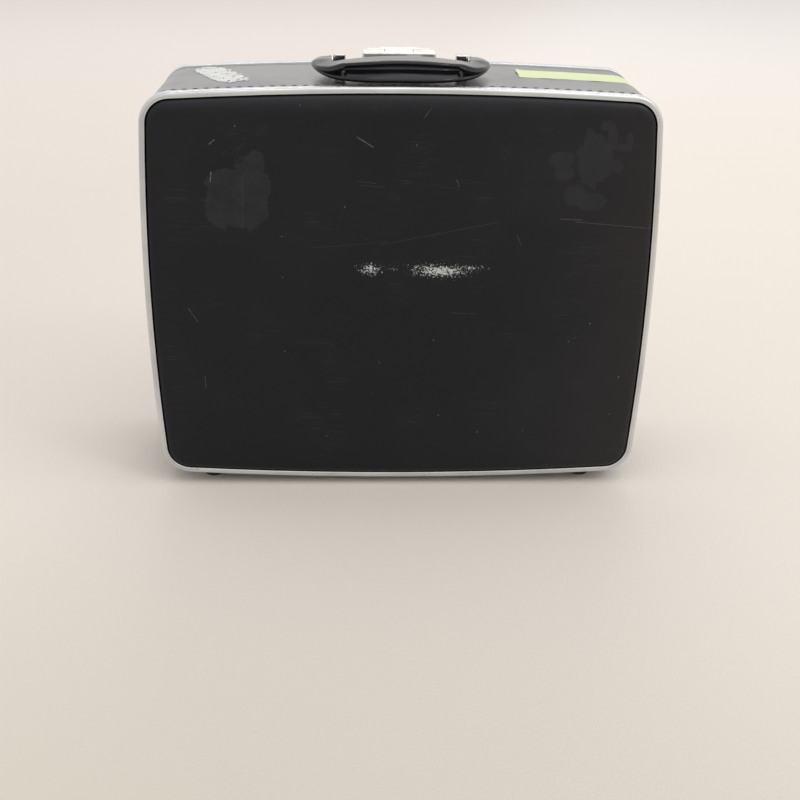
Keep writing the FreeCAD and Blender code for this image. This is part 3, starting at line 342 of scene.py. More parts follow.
def ovalReach(place, centre, half):
    # distance from an oval's middle on the front, 1 at its edge
    x, y, z = place.axes()
    return place.vector((x - centre[0]) / half[0], 0.0, (z - centre[1]) / half[1]).length()


def ovalMark(place, centre, half, wander):
    # 1 inside an oval, with an edge that wanders
    return (ovalReach(place, centre, half) + wander).fade(1.04, 0.96)


def mostOf(wires):
    highest, *others = wires
    for wire in others:
        highest = highest.most(wire)
    return highest


def hairLines(place, reach, turn, detail, edge, patches):
    # fine scratches that run along the longest reach, in patches
    line = place.stretch(*reach, turn).cloud(1.0, detail, 0.7)
    scale, low, high = patches
    return (line - 0.5).size().fade(*edge) * place.cloud(scale, 2.0, 0.5).fade(low, high)


def dusted(place, colour, scale, rare, size, share):
    # pale specks in a few of the cells
    chosen = place.cells(scale, "Color").axes()[0].fade(rare, rare + 0.01)
    return (place.cells(scale).fade(size, 0.05) * chosen * share).blend(colour, vinyl["speck"])


def surface(colour, rough, height, depth, **more):
    return {"Base Color": colour, "Roughness": rough, "Normal": height.bump(depth), **more}


vinyl = {
    "colour": (0.0044, 0.0054, 0.0088),
    "cloudy": (0.0062, 0.0071, 0.0106),
    # paler tone that the panel takes on towards its right edge
    "rightPaling": (0.0175, 0.0158, 0.0170),
    "residue": (0.0225, 0.0230, 0.0250),
    # bluish painted sky reflection mixed with dust, for the top rolled edge
    "edgeDustAndReflection": (0.0240, 0.0255, 0.0300),
    "powder": (0.60, 0.62, 0.62),
    "thread": (0.16, 0.16, 0.155),
    "speck": (0.45, 0.44, 0.42),
    "roughness": 0.36,
    "grain": 0.00002,
}

panelMarks = {
    "scratches": [
        ((-0.0331, 0.2846), (-0.0215, 0.2774), 0.00050, 0.8),
        ((-0.1397, 0.2584), (-0.1408, 0.2510), 0.00055, 1.0),
        ((-0.1169, 0.2563), (-0.1184, 0.2164), 0.00040, 0.12),
        ((-0.1624, 0.1532), (-0.1554, 0.1418), 0.00035, 0.5),
        ((0.1186, 0.2242), (0.1352, 0.2235), 0.0004, 0.5),
        ((0.1308, 0.2220), (0.1910, 0.2168), 0.0005, 0.28),
        ((0.0405, 0.2534), (0.0422, 0.2482), 0.0003, 0.6),
        ((-0.1524, 0.0968), (-0.1521, 0.0866), 0.0003, 0.55),
        ((0.0870, 0.2117), (0.0904, 0.2040), 0.0003, 0.45),
        ((-0.0159, 0.2036), (0.0737, 0.2217), 0.0004, 0.16),
        ((0.0153, 0.2986), (0.0209, 0.3058), 0.0004, 0.4),
        ((0.0383, 0.1495), (0.0577, 0.1487), 0.0003, 0.3),
        ((-0.1401, 0.2789), (-0.1364, 0.2818), 0.0006, 0.7),
        ((-0.0680, 0.2010), (-0.0100, 0.2062), 0.0004, 0.12),
        ((-0.0330, 0.2520), (-0.0190, 0.2505), 0.0004, 0.2),
        ((-0.0300, 0.2490), (-0.0130, 0.2478), 0.0004, 0.16),
    ],
    # where powder clings: middle, half size, and how thickly it lies there
    "powder": [
        ((-0.0230, 0.1843), (0.0106, 0.0051), 0.09),
        ((-0.0082, 0.1852), (0.0106, 0.0043), -0.03),
        ((0.0046, 0.1872), (0.0182, 0.0063), -0.08),
        ((0.0313, 0.1829), (0.0160, 0.0044), 0.15),
        ((0.0221, 0.1841), (0.0198, 0.0059), 0.07),
        ((0.0540, 0.1855), (0.0129, 0.0027), 0.06),
    ],
    # the lobes of the two stains that labels left
    "stains": [
        ((-0.1119, 0.2437), (0.0139, 0.0267)),
        ((-0.1328, 0.2346), (0.0125, 0.0180)),
        ((-0.1299, 0.2488), (0.0132, 0.0126)),
        ((-0.1068, 0.2638), (0.0065, 0.0103)),
        ((-0.1199, 0.2263), (0.0222, 0.0098)),
        ((0.1417, 0.2674), (0.0133, 0.0205)),
        ((0.1384, 0.2820), (0.0066, 0.0066)),
        ((0.1363, 0.2897), (0.0026, 0.0029)),
        ((0.1492, 0.2937), (0.0051, 0.0036)),
        ((0.1535, 0.2851), (0.0037, 0.0087)),
        ((0.1663, 0.2822), (0.0026, 0.0073)),
        ((0.1615, 0.2782), (0.0066, 0.0029)),
        ((0.1170, 0.2687), (0.0094, 0.0066)),
        ((0.1196, 0.2590), (0.0085, 0.0060)),
        ((0.1288, 0.2423), (0.0085, 0.0075)),
        ((0.1410, 0.2375), (0.0110, 0.0068)),
        ((0.1589, 0.2645), (0.0044, 0.0052)),
    ],
    "stainHole": ((0.1481, 0.2489), (0.0048, 0.0045)),
}


def paintPanel(place):
    x, y, z = place.axes()
    slow = place.cloud(9.0, 3.0, 0.55)
    middle = place.cloud(60.0, 4.0, 0.6)
    fine = place.cloud(1600.0, 2.0, 0.6)
    colour = slow.fade(0.35, 0.7).blend(vinyl["colour"], vinyl["cloudy"])
    # colour that is paler towards the right edge
    rightPaling = (x + (slow - 0.5) * 0.16).fade(0.03, 0.26) * (middle * 0.5 + 0.75)
    colour = rightPaling.blend(colour, vinyl["rightPaling"])
    # painted reflection of the sky on the rolled edge at the top, with some dust
    settled = (z + (middle - 0.5) * 0.006).fade(0.2990, 0.3135)
    colour = (settled * 0.7).blend(colour, vinyl["edgeDustAndReflection"])
    # the stains: lobes with a ragged edge, thin in places
    ragged = (place.cloud(120.0, 6.0, 0.75) - 0.5) * 1.05
    stain = mostOf([ovalMark(place, centre, half, ragged) for centre, half in panelMarks["stains"]])
    stain = stain * (1.0 - ovalMark(place, *panelMarks["stainHole"], ragged))
    stain = stain * (place.cloud(70.0, 5.0, 0.72).fade(0.30, 0.66) * 0.55 + 0.45)
    colour = (stain * 0.85).blend(colour, vinyl["residue"])
    # the powdery scuff across the middle
    grit = place.cloud(900.0, 3.0, 0.75)
    powder = mostOf([grit + thick - ovalReach(place, centre, half) * 0.17
                     for centre, half, thick in panelMarks["powder"]]).fade(0.53, 0.59)
    colour = powder.blend(colour, vinyl["powder"])
    # scratches that can be made out one by one, then fine ones all over
    lines = mostOf([lineMark(place, start, end, width) * strength
                    for start, end, width, strength in panelMarks["scratches"]])
    broken = place.cloud(420.0, 2.0, 0.7).fade(0.35, 0.6)
    lines = lines * (broken * 0.6 + 0.4)
    level = hairLines(place, (0.14, 1.0, 0.0035), 0.05, 3.0, (0.012, 0.002), (26.0, 0.5, 0.68))
    hairs = level.most(hairLines(place, (0.003, 1.0, 0.07), 0.9, 2.0, (0.010, 0.002), (31.0, 0.58, 0.72)))
    colour = (lines.most(hairs * 0.10)).blend(colour, vinyl["thread"])
    colour = dusted(place, colour, 190.0, 0.965, 0.09, 0.55)
    rough = vinyl["roughness"] + (middle - 0.5) * 0.12 + (slow - 0.5) * 0.10
    rough = rough + stain * 0.22 + powder * 0.45 + hairs * 0.06
    height = fine * 0.6 + place.cloud(420.0, 3.0, 0.6) * 0.8 + powder * 2.0 + stain * 0.6 - lines * 2.5
    return surface(colour, rough, height, vinyl["grain"])


bandLook = {
    "colour": (0.010, 0.010, 0.0115),
    "smudge": (0.036, 0.0375, 0.041),
    "roughness": 0.26,
    "grain": 0.00004,
}


def paintBand(place):
    smudge = place.cloud(17.0, 4.0, 0.62, 0.3)
    fine = place.cloud(900.0, 3.0, 0.6)
    grain = place.cells(750.0, feature="SMOOTH_F1")
    colour = smudge.fade(0.32, 0.74).blend(bandLook["colour"], bandLook["smudge"])
    hairs = hairLines(place, (0.09, 0.004, 0.09), 0.0, 3.0, (0.012, 0.003), (20.0, 0.5, 0.7))
    colour = (hairs * 0.3).blend(colour, vinyl["thread"])
    colour = dusted(place, colour, 160.0, 0.96, 0.10, 0.5)
    rough = bandLook["roughness"] + smudge.fade(0.4, 0.7) * 0.14 + (fine - 0.5) * 0.08 + hairs * 0.1
    height = grain * 1.0 + fine * 0.5 + smudge * 2.0
    return surface(colour, rough, height, bandLook["grain"])


boardLook = {
    "colour": (0.0062, 0.0064, 0.0085),
    "worn": (0.0150, 0.0150, 0.0170),
    "roughness": 0.38,
}


def paintBoard(place):
    # the back: plain leathercloth, rubbed by tables, with fine scratches both ways
    slow = place.cloud(8.0, 3.0, 0.55)
    middle = place.cloud(55.0, 4.0, 0.65)
    fine = place.cloud(1600.0, 2.0, 0.6)
    worn = (slow * 0.7 + middle * 0.3).fade(0.42, 0.66)
    colour = (worn * 0.7).blend(boardLook["colour"], boardLook["worn"])
    level = hairLines(place, (0.14, 1.0, 0.0035), 0.12, 3.0, (0.012, 0.002), (24.0, 0.48, 0.66))
    hairs = level.most(hairLines(place, (0.004, 1.0, 0.09), 0.35, 2.0, (0.010, 0.002), (29.0, 0.54, 0.70)))
    colour = (hairs * 0.16).blend(colour, vinyl["thread"])
    colour = dusted(place, colour, 170.0, 0.96, 0.10, 0.5)
    rough = boardLook["roughness"] + (middle - 0.5) * 0.14 + worn * 0.08 + hairs * 0.06
    height = fine * 0.6 + place.cloud(420.0, 3.0, 0.6) * 0.8 - hairs * 0.6
    return surface(colour, rough, height, vinyl["grain"])


aluminium = {
    "colour": (0.68, 0.700, 0.715),
    "dull": (0.57, 0.587, 0.60),
    "pit": (0.10, 0.095, 0.085),
    "roughness": 0.25,
}


def paintAluminium(place):
    slow = place.cloud(22.0, 3.0, 0.55)
    fine = place.cloud(700.0, 3.0, 0.7)
    streak = place.stretch(0.02, 0.0006, 0.02).cloud(1.0, 3.0, 0.6)
    colour = slow.fade(0.35, 0.7).blend(aluminium["colour"], aluminium["dull"])
    pits = place.cells(420.0).fade(0.22, 0.10) * place.cloud(38.0, 3.0, 0.6).fade(0.56, 0.66)
    colour = (pits * 0.9).blend(colour, aluminium["pit"])
    rough = aluminium["roughness"] + (slow - 0.5) * 0.08 + (streak - 0.5) * 0.08 + pits * 0.3
    height = fine * 0.2 + streak * 0.3 - pits * 3.0
    metal = 1.0 - pits * 0.7
    return surface(colour, rough, height, 0.00001, Metallic=metal)


handleLook = {
    "colour": (0.0048, 0.0054, 0.0078),
    "dust": (0.020, 0.022, 0.029),
    "roughness": 0.075,
}


def paintHandle(place):
    slow = place.cloud(45.0, 4.0, 0.6)
    fine = place.cloud(1100.0, 2.0, 0.6)
    hairs = hairLines(place, (0.05, 0.05, 0.0012), 0.0, 3.0, (0.02, 0.004), (70.0, 0.45, 0.7))
    settled = slow.fade(0.5, 0.8) * 0.35 + hairs * 0.15
    colour = settled.blend(handleLook["colour"], handleLook["dust"])
    rough = handleLook["roughness"] + slow.fade(0.35, 0.8) * 0.14 + hairs * 0.1
    height = fine * 0.3 + slow * 1.5 - hairs * 0.6
    return surface(colour, rough, height, 0.00002)


chromeLook = {
    "colour": (0.80, 0.79, 0.765),
    "tarnish": (0.62, 0.59, 0.53),
    "pit": (0.16, 0.12, 0.08),
    "roughness": 0.10,
    "satin": 0.36,
}


def paintChrome(place):
    slow = place.cloud(110.0, 4.0, 0.6)
    fine = place.cloud(1500.0, 3.0, 0.6)
    colour = slow.fade(0.48, 0.72).blend(chromeLook["colour"], chromeLook["tarnish"])
    pits = place.cells(900.0).fade(0.2, 0.08) * place.cloud(140.0, 3.0, 0.6).fade(0.66, 0.74)
    colour = pits.blend(colour, chromeLook["pit"])
    rough = chromeLook["roughness"] + slow.fade(0.4, 0.75) * 0.10 + (fine - 0.5) * 0.05 + pits * 0.4
    metal = 1.0 - pits * 0.6
    height = fine * 0.15 - pits * 2.0
    return surface(colour, rough, height, 0.000008, Metallic=metal)


def paintNickel(place):
    slow = place.cloud(90.0, 4.0, 0.6)
    fine = place.cloud(1500.0, 3.0, 0.6)
    brushed = place.stretch(0.012, 0.0005, 0.0005).cloud(1.0, 3.0, 0.6)
    colour = slow.fade(0.45, 0.75).blend(chromeLook["colour"], chromeLook["tarnish"])
    pits = place.cells(900.0).fade(0.2, 0.08) * place.cloud(140.0, 3.0, 0.6).fade(0.68, 0.76)
    colour = (pits * 0.6).blend(colour, chromeLook["pit"])
    rough = chromeLook["satin"] + slow.fade(0.4, 0.75) * 0.08 + (brushed - 0.5) * 0.08
    metal = 1.0 - pits * 0.5
    height = brushed * 0.4 + fine * 0.1
    return surface(colour, rough, height, 0.000008, Metallic=metal)


zincLook = {
    "colour": (0.50, 0.495, 0.48),
    "dark": (0.30, 0.29, 0.275),
    "rust": (0.17, 0.075, 0.03),
    "roughness": 0.34,
}


def paintZinc(place):
    flakes = place.cells(520.0, "Color").axes()[1]
    slow = place.cloud(85.0, 4.0, 0.62)
    fine = place.cloud(1300.0, 3.0, 0.6)
    colour = (slow.fade(0.35, 0.72) * 0.8 + flakes * 0.2).blend(zincLook["colour"], zincLook["dark"])
    rust = place.cloud(210.0, 4.0, 0.7).fade(0.66, 0.74)
    colour = (rust * 0.8).blend(colour, zincLook["rust"])
    rough = zincLook["roughness"] + (flakes - 0.5) * 0.10 + (slow - 0.5) * 0.2 + rust * 0.4
    metal = 1.0 - rust * 0.85
    height = fine * 0.5 + rust * 2.0
    return surface(colour, rough, height, 0.00001, Metallic=metal)


feltLook = {
    "colour": (0.075, 0.076, 0.082),
    "pale": (0.13, 0.13, 0.135),
    "worn": (0.052, 0.052, 0.056),
}


def paintFelt(place):
    fibre = place.stretch(0.0016, 0.0016, 0.0005, 0.6).cloud(1.0, 3.0, 0.7, 1.5)
    across = place.stretch(0.0005, 0.0016, 0.0016, 0.2).cloud(1.0, 3.0, 0.7, 1.5)
    slow = place.cloud(14.0, 4.0, 0.6)
    colour = fibre.fade(0.35, 0.7).blend(feltLook["colour"], feltLook["pale"])
    colour = (slow.fade(0.45, 0.75) * 0.6).blend(colour, feltLook["worn"])
    height = fibre + across + place.cloud(260.0, 3.0, 0.6) * 1.5
    rough = 0.92 + (fibre - 0.5) * 0.1
    return surface(colour, rough, height, 0.00025)


rubberLook = {
    "colour": (0.016, 0.016, 0.0165),
    "dust": (0.085, 0.08, 0.072),
}


def paintRubber(place):
    slow = place.cloud(120.0, 4.0, 0.6)
    fine = place.cloud(1400.0, 3.0, 0.7)
    colour = (slow.fade(0.42, 0.75) * 0.45).blend(rubberLook["colour"], rubberLook["dust"])
    rough = 0.62 + (slow - 0.5) * 0.25
    return surface(colour, rough, fine * 0.6 + slow, 0.00005)


def glossOf(level, **more):
    return {"IOR": 1.5, "Specular IOR Level": level, **more}


coated = {"Coat Weight": 0.55, "Coat Roughness": 0.22, "Coat IOR": 1.5}
paints = {
    "panelVinyl": (paintPanel, glossOf(0.25)),
    "bandVinyl": (paintBand, glossOf(0.5, **coated)),
    "boardVinyl": (paintBoard, glossOf(0.35)),
    "satinAluminium": (paintAluminium, {}),
    "handleBlack": (paintHandle, glossOf(0.44)),
    "brightPlate": (paintChrome, {}),
    "satinNickel": (paintNickel, {}),
    "zincPlate": (paintZinc, {}),
    "greyFelt": (paintFelt, {"Sheen Weight": 0.35, "Sheen Roughness": 0.5}),
    "blackRubber": (paintRubber, {}),
}
finishes = {name: newMaterial(name, paint, **constants) for name, (paint, constants) in paints.items()}

finishOfSlot = {
    "aluminium_trim": "satinAluminium",
    "lining": "greyFelt",
    "handle_plastic": "handleBlack",
    "chrome": "brightPlate",
    "plated_steel": "zincPlate",
    "rubber": "blackRubber",
}
finishOfNode = {
    "front_panel": "panelVinyl", "side_band": "bandVinyl", "lid_valance": "bandVinyl",
    "base_board": "boardVinyl",
    "latch_housing": "satinNickel", "latch_base_plate": "satinNickel", "hasp_plate": "satinNickel",
    "hasp_bracket": "satinNickel",
}

for row in frame["record"]["subparts"]:
    name = row["node"]
    finish = finishOfNode.get(name) or finishOfSlot[row["material_slot"]]
    mesh = nodes[name].data
    mesh.materials.clear()
    mesh.materials.append(finishes[finish])
print("materials on the frame:", len(finishes))


def addObject(name, data):
    made = bpy.data.objects.new(name, data)
    bpy.context.scene.collection.objects.link(made)
    return made


def meshObject(name, mesh, material, rounded=True):
    mesh.normal_update()
    data = bpy.data.meshes.new(name)
    mesh.to_mesh(data)
    mesh.free()
    data.materials.append(material)
    if rounded:
        data.shade_smooth()
    return addObject(name, data)


def newPiece(name, mesh, body, material, rounded=True):
    piece = meshObject(name, mesh, material, rounded)
    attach(piece, body)
    return piece


panelShape = {
    "inset": 0.0056,
    "front": -0.0695,
    "back": -0.0595,
    "lip": 0.0012,  # the straight wall behind the roll
    "rollWidth": 0.0058,
    "rollDepth": 0.0031,
    "faceInsets": (0.0124, 0.0137, 0.0154, 0.0176, 0.0202),
    "faceRings": 40,
    "calmEdge": (0.011, 0.045),  # how far in the sway starts, and where it is whole
    "sway": 0.00022,
    "swayReach": 0.065,
    "ripple": 0.000044,
    "rippleReach": 0.021,
}


def paddedPanel():
    # the leathercloth face: a rolled edge close to the frame, then a face that is nearly flat
    made = bmesh.new()
    inset, front = panelShape["inset"], panelShape["front"]
    low = front + panelShape["rollDepth"]
    loops = [loopOf(made, ringAt(inset, y)) for y in (panelShape["back"], low + panelShape["lip"])]
    for cosine, sine in quarterTurn(12):
        rolled = inset + panelShape["rollWidth"] * (1 - cosine)
        loops.append(loopOf(made, ringAt(rolled, low - panelShape["rollDepth"] * sine)))
    rolls = len(loops)
    for faceInset in panelShape["faceInsets"]:
        rim = ringAt(faceInset, front)
        loops.append(loopOf(made, rim))
    closeIn(made, loops, rim, front, panelShape["faceRings"], 1)
    skin(made, loops)
    for loop in loops[rolls - 1:]:
        for vert in loop:
            x, z = vert.co.x, vert.co.z
            away = min(caseShape["halfWidth"] - abs(x),
                       caseShape["halfHeight"] - abs(z - caseShape["middleZ"]))
            vert.co.y += smooth(away, *panelShape["calmEdge"]) * (
                sway(x, z, panelShape["swayReach"], panelShape["sway"], 2.5)
                + sway(x, z, panelShape["rippleReach"], panelShape["ripple"], 8.5))
    return outward(made)


panelPiece = newPiece("padded_panel", paddedPanel(), "lid", finishes["panelVinyl"])
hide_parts("front_panel")

valance = {
    # the section of the deep shell's rear edge: millimetres in from the outline, and along Y
    "section": [
        (1.17, 48.5), (1.02, 50.0), (0.90, 51.5), (0.82, 53.0), (0.80, 53.7), (0.90, 54.2), (1.20, 54.5),
        (5.20, 54.5), (5.20, 58.2), (5.45, 58.5), (6.15, 58.5), (6.40, 58.2), (6.40, 53.2), (6.20, 53.0),
        (4.70, 53.0), (4.70, 48.7), (4.50, 48.5), (3.70, 48.5), (3.70, 52.9), (1.25, 52.9), (1.25, 48.5),
    ],
}


def coveredValance():
    # the covering runs on over the rear edge, with the tongue that the shallow shell closes over
    made = bmesh.new()
    loops = [loopOf(made, ringAt(inset / 1000, y / 1000)) for inset, y in valance["section"]]
    skin(made, loops, False)
    return outward(made)


valancePiece = newPiece("covered_valance", coveredValance(), "lid", finishes["bandVinyl"],
                        False)
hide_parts("lid_valance")

lining = {
    "sheetInset": 0.0048,
    "panelBack": -0.0565,
    "panelFace": -0.0555,
    "baseFace": 0.0588,
    "baseBack": 0.0598,
    "edgeRound": ((0, 0.0004), (0.0004, 0.0001), (0.0012, 0)),  # in from the edge, and down
    "faceInset": 0.011,
    "rimInset": 0.0202,
    "faceRings": 60,
    "wallOuter": 0.0037,
    "wallInner": 0.0047,
    "wallEnd": 0.0484,
    "wallRows": 52,
    "wallReach": (0.03, 0.006),
    "nap": 0.00012,
    "napReach": 0.040,
    "fuzz": 0.4,  # share of the nap
    "fuzzReach": 0.006,
}


def feltSlab(hidden, face):
    # a sheet of felt glued to a board, its face a little uneven and its edge rounded over
    made = bmesh.new()
    facing = 1 if face > hidden else -1
    nap = lining["nap"]
    loops = [loopOf(made, ringAt(lining["sheetInset"], hidden))]
    for inward, down in lining["edgeRound"]:
        loops.append(loopOf(made, ringAt(lining["sheetInset"] + inward, face - facing * down)))
    edges = len(loops)
    loops.append(loopOf(made, ringAt(lining["faceInset"], face)))
    closeIn(made, loops, ringAt(lining["rimInset"], face), face, lining["faceRings"])
    skin(made, loops)
    for loop in loops[edges:]:
        for vert in loop:
            x, z = vert.co.x, vert.co.z
            vert.co.y -= facing * (sway(x, z, lining["napReach"], nap, face * 100)
                                   + sway(x, z, lining["fuzzReach"], nap * lining["fuzz"], face * 77))
    return outward(made)


def feltWall():
    # the strip of felt that runs round inside the walls
    made = bmesh.new()
    front, end, rows = lining["panelBack"], lining["wallEnd"], lining["wallRows"]
    loops = [loopOf(made, ringAt(lining["wallOuter"], front))]
    for row in range(rows + 1):
        y = front + (end - front) * row / rows
        points = ringAt(lining["wallInner"], y)
        for number, point in enumerate(points):
            if 0 < row < rows:
                out = outerPath.at(number * outerPath.total / ringCount)[1]
                wide, close = (noise.noise(Vector((point.x / reach, y / reach, point.z / reach)))
                               for reach in lining["wallReach"])
                points[number] = point + out * (lining["nap"] * (0.5 + 0.35 * wide + 0.15 * close))
        loops.append(loopOf(made, points))
    loops.append(loopOf(made, ringAt(lining["wallOuter"], end)))
    skin(made, loops, False)
    return outward(made)


def layFelt(name, mesh, body, node):
    piece = newPiece(name, mesh, body, finishes["greyFelt"])
    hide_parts(node)


panelFelt = feltSlab(lining["panelBack"], lining["panelFace"])
baseFelt = feltSlab(lining["baseBack"], lining["baseFace"])
layFelt("panel_felt", panelFelt, "lid", "panel_lining")
layFelt("base_felt", baseFelt, "base", "base_lining")
layFelt("wall_felt", feltWall(), "lid", "band_lining")
print("panel and felt laid")

grip = {
    "tipX": 0.0680,
    "armInner": 0.0516,
    "front": -0.0565,
    "rear": -0.0240,
    "armEnd": 0.0055,
    "top": 0.3360,
    "low": 0.3208,
    "topDrop": 0.0078,
    "lowRise": 0.0062,
    "pivotTop": 0.3309,
    "outerCorner": 0.050,
    "innerCorner": 0.012,
    "tipY": -0.0080,
    "tailX": 0.0560,
    "innerRound": 0.002,
    "rimSetback": 0.0050,
    "setbackLost": 0.85,  # share of the set-back that is gone at the arms' ends
    "setbackEnds": (0.040, 0.064),
    "rimRound": 0.0020,
    "backRound": 0.0032,
    "underRound": 0.0020,
    "tipFall": 0.0026,  # the arm's top falls outside fallFrom, by this much after fallReach
    "fallFrom": 0.055,
    "fallReach": 0.013,
    "armRise": (-0.022, -0.008),  # along Y, where the top climbs to the pivots
    "armSlope": 0.07,
    "slopeFrom": -0.010,
    "slopeSides": (0.042, 0.056),
    "steps": (44, 70, 24),  # stations along the front, round the bend and along the arm
    "scoopEnds": (0.0400, 0.0467),
    # how far the front face stands in, in millimetres, from under the rim down to the lip
    "scoopDepths": (5.0, 6.2, 7.1, 7.6, 7.8, 7.6, 7.1, 6.3, 5.4, 4.4, 3.4, 2.4, 1.5, 0.75, 0.2, 0),
}


def gripTop(x, y):
    plain = grip["top"] - grip["topDrop"] * (x / grip["tipX"]) ** 2
    arm = grip["pivotTop"] - grip["tipFall"] * max(0, (abs(x) - grip["fallFrom"]) / grip["fallReach"]) ** 3
    slope = grip["armSlope"] * max(0, grip["slopeFrom"] - y) * smooth(abs(x), *grip["slopeSides"])
    return plain + max(0, arm - plain) * smooth(y, *grip["armRise"]) - slope


def gripLow(x):
    return grip["low"] + grip["lowRise"] * abs(x / grip["tipX"]) ** 8


def gripStations():
    # pairs of plan points, on the outer and the inner edge, from the middle round to the right arm's end
    corner, inner = grip["outerCorner"], grip["innerCorner"]
    roundX, roundY = grip["tipX"] - corner, grip["front"] + corner
    turnX, turnY = grip["armInner"] - inner, grip["rear"] + inner
    front, bend, arm = grip["steps"]
    stations = []
    for number in range(front):
        x = turnX * number / front
        y = grip["front"] if x < roundX else roundY - math.sqrt(corner ** 2 - (x - roundX) ** 2)
        stations.append(((x, y), (x, grip["rear"])))
    for number in range(bend + 1):
        angle = math.pi / 2 * (number / bend - 1)
        across, up = math.cos(angle), math.sin(angle)
        lean = (turnX - roundX) * across + (turnY - roundY) * up
        gap = (turnX - roundX) ** 2 + (turnY - roundY) ** 2
        reach = math.sqrt(lean ** 2 + corner ** 2 - gap) - lean
        stations.append(((turnX + reach * across, turnY + reach * up),
                         (turnX + inner * across, turnY + inner * up)))
    for cosine, sine in quarterTurn(arm)[1:]:
        y = turnY + (grip["armEnd"] - turnY) * sine
        if y < grip["tipY"]:
            x = roundX + math.sqrt(corner ** 2 - min(0, y - roundY) ** 2)
        else:
            share = min(1, (y - grip["tipY"]) / (grip["armEnd"] - grip["tipY"]))
            x = grip["tailX"] + (grip["tipX"] - grip["tailX"]) * math.sqrt(1 - share * share)
        tuck = max(0, y - grip["armEnd"] + grip["innerRound"])
        pinch = grip["innerRound"] - math.sqrt(max(0, grip["innerRound"] ** 2 - tuck ** 2))
        stations.append(((x, y), (grip["armInner"] + pinch, y)))
    return stations


def gripLoop(outer, inner):
    # the section between two plan points: over the top, down behind, back under and up the front
    across = Vector((inner[0] - outer[0], inner[1] - outer[1]))
    width = across.length
    across.normalize()
    low = gripLow(outer[0])
    edge = gripTop(*outer) - low
    rim = min(grip["rimRound"], edge * 0.35)
    kept = 1 - grip["setbackLost"] * smooth(abs(outer[0]), *grip["setbackEnds"])
    setback = min(width * 0.3, grip["rimSetback"] * kept)
    back = min(grip["backRound"], width * 0.3)
    under = min(grip["underRound"], edge * 0.4)

    def plan(reach):
        return outer[0] + across.x * reach, outer[1] + across.y * reach

    # reach in from the outer edge, with the height over the top face and over the low one
    bend = quarterTurn(6)
    high = [(setback + rim * (1 - cosine), rim * (sine - 1)) for cosine, sine in bend]
    high += [(setback + rim + (width - setback - rim - back) * step / 12, 0) for step in range(1, 12)]
    high += [(width - back * (1 - sine), back * (cosine - 1)) for cosine, sine in bend]
    floor = [(width - under * (1 - cosine), under * (1 - sine)) for cosine, sine in bend]
    floor += [(width - under - (width - 2 * under) * step / 8, 0) for step in range(1, 8)]
    floor += [(under * (1 - sine), under * (1 - cosine)) for cosine, sine in bend]
    points = [Vector((*plan(reach), gripTop(*plan(reach)) + shift)) for reach, shift in high]
    points += [Vector((*plan(reach), gripLow(plan(reach)[0]) + shift)) for reach, shift in floor]
    # the front face is scooped out between the arms
    scooped = 1 - smooth(abs(outer[0]), *grip["scoopEnds"])
    depths = grip["scoopDepths"]
    top, bottom = gripTop(*outer) - rim, low + under
    for step in range(1, len(depths) - 1):
        share = step / (len(depths) - 1)
        plain = setback * (1 - share)
        reach = plain + scooped * (depths[-1 - step] / 1000 - plain)
        points.append(Vector((*plan(reach), top + (bottom - top) * (1 - share))))
    return points


def mouldGrip():
    made = bmesh.new()
    right = gripStations()
    left = [((-outer[0], outer[1]), (-inner[0], inner[1])) for outer, inner in right[:0:-1]]
    loops = [loopOf(made, gripLoop(outer, inner)) for outer, inner in left + right]
    skin(made, loops)
    return outward(made)


gripPiece = newPiece("moulded_grip", mouldGrip(), "handle", finishes["handleBlack"])
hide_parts("handle_grip")
print("grip moulded")

coil = {
    "start": 0.0147,
    "end": 0.0270,
    "wall": 0.0274,
    "y": 0.0415,
    "z": 0.3251,
    "radius": 0.0019,
    "wire": 0.0003,
    "turns": 5,
    "stepsPerTurn": 32,
    "pressed": 0.69,
}


def windSpring():
    # the light coil that the bolt presses against the housing's end wall
    made = bmesh.new()
    steps = coil["turns"] * coil["stepsPerTurn"]
    rings = []
    for step in range(steps + 1):
        angle = step / coil["stepsPerTurn"] * math.tau
        out = Vector((0, math.cos(angle), math.sin(angle)))
        x = coil["start"] + (coil["end"] - coil["start"]) * step / steps
        centre = Vector((x, coil["y"], coil["z"])) + out * coil["radius"]
        rings.append(tubeRing(made, centre, out, Vector((1, 0, 0)), coil["wire"]))
    skin(made, rings)
    return outward(made)


springPiece = newPiece("bolt_spring", windSpring(), "lid", finishes["zincPlate"])
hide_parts("latch_spring")
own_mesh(springPiece)
print("spring wound")

stitching = {
    "pitch": 0.0080,
    "length": 0.0050,
    "radius": 0.00050,
    "y": -0.0521,
    "steps": 6,
    "rise": 0.35,  # how high a stitch lies and how far its ends sink, in radii
    "sink": 1.5,
    "thin": 0.35,  # share of the radius that its ends lose
    "colour": (0.105, 0.045, 0.040),
    "pale": (0.16, 0.085, 0.075),
}


def paintThread(place):
    twist = place.stretch(0.0006, 0.0006, 0.0006).cloud(1.0, 2.0, 0.5)
    colour = twist.fade(0.3, 0.7).blend(stitching["colour"], stitching["pale"])
    return surface(colour, 0.7 + (twist - 0.5) * 0.2, twist, 0.0001)


def sewBand():
    made = bmesh.new()
    count = round(bandPath.total / stitching["pitch"])
    radius, steps = stitching["radius"], stitching["steps"]
    for number in range(count):
        start = number * bandPath.total / count
        rings = []
        for step in range(steps + 1):
            share = step / steps
            place, out = bandPath.at(start + share * stitching["length"])
            dip = (2 * share - 1) ** 4
            lift = out * (radius * (stitching["rise"] - stitching["sink"] * dip))
            centre = place + lift + Vector((0, stitching["y"], 0))
            reach = radius * (1 - stitching["thin"] * dip)
            rings.append(tubeRing(made, centre, Vector((0, 1, 0)), out, reach))
        skin(made, rings)
    return outward(made)


threadFinish = newMaterial("stitchThread", paintThread)
newPiece("band_stitching", sewBand(), "lid", threadFinish)
print("stitching sewn")

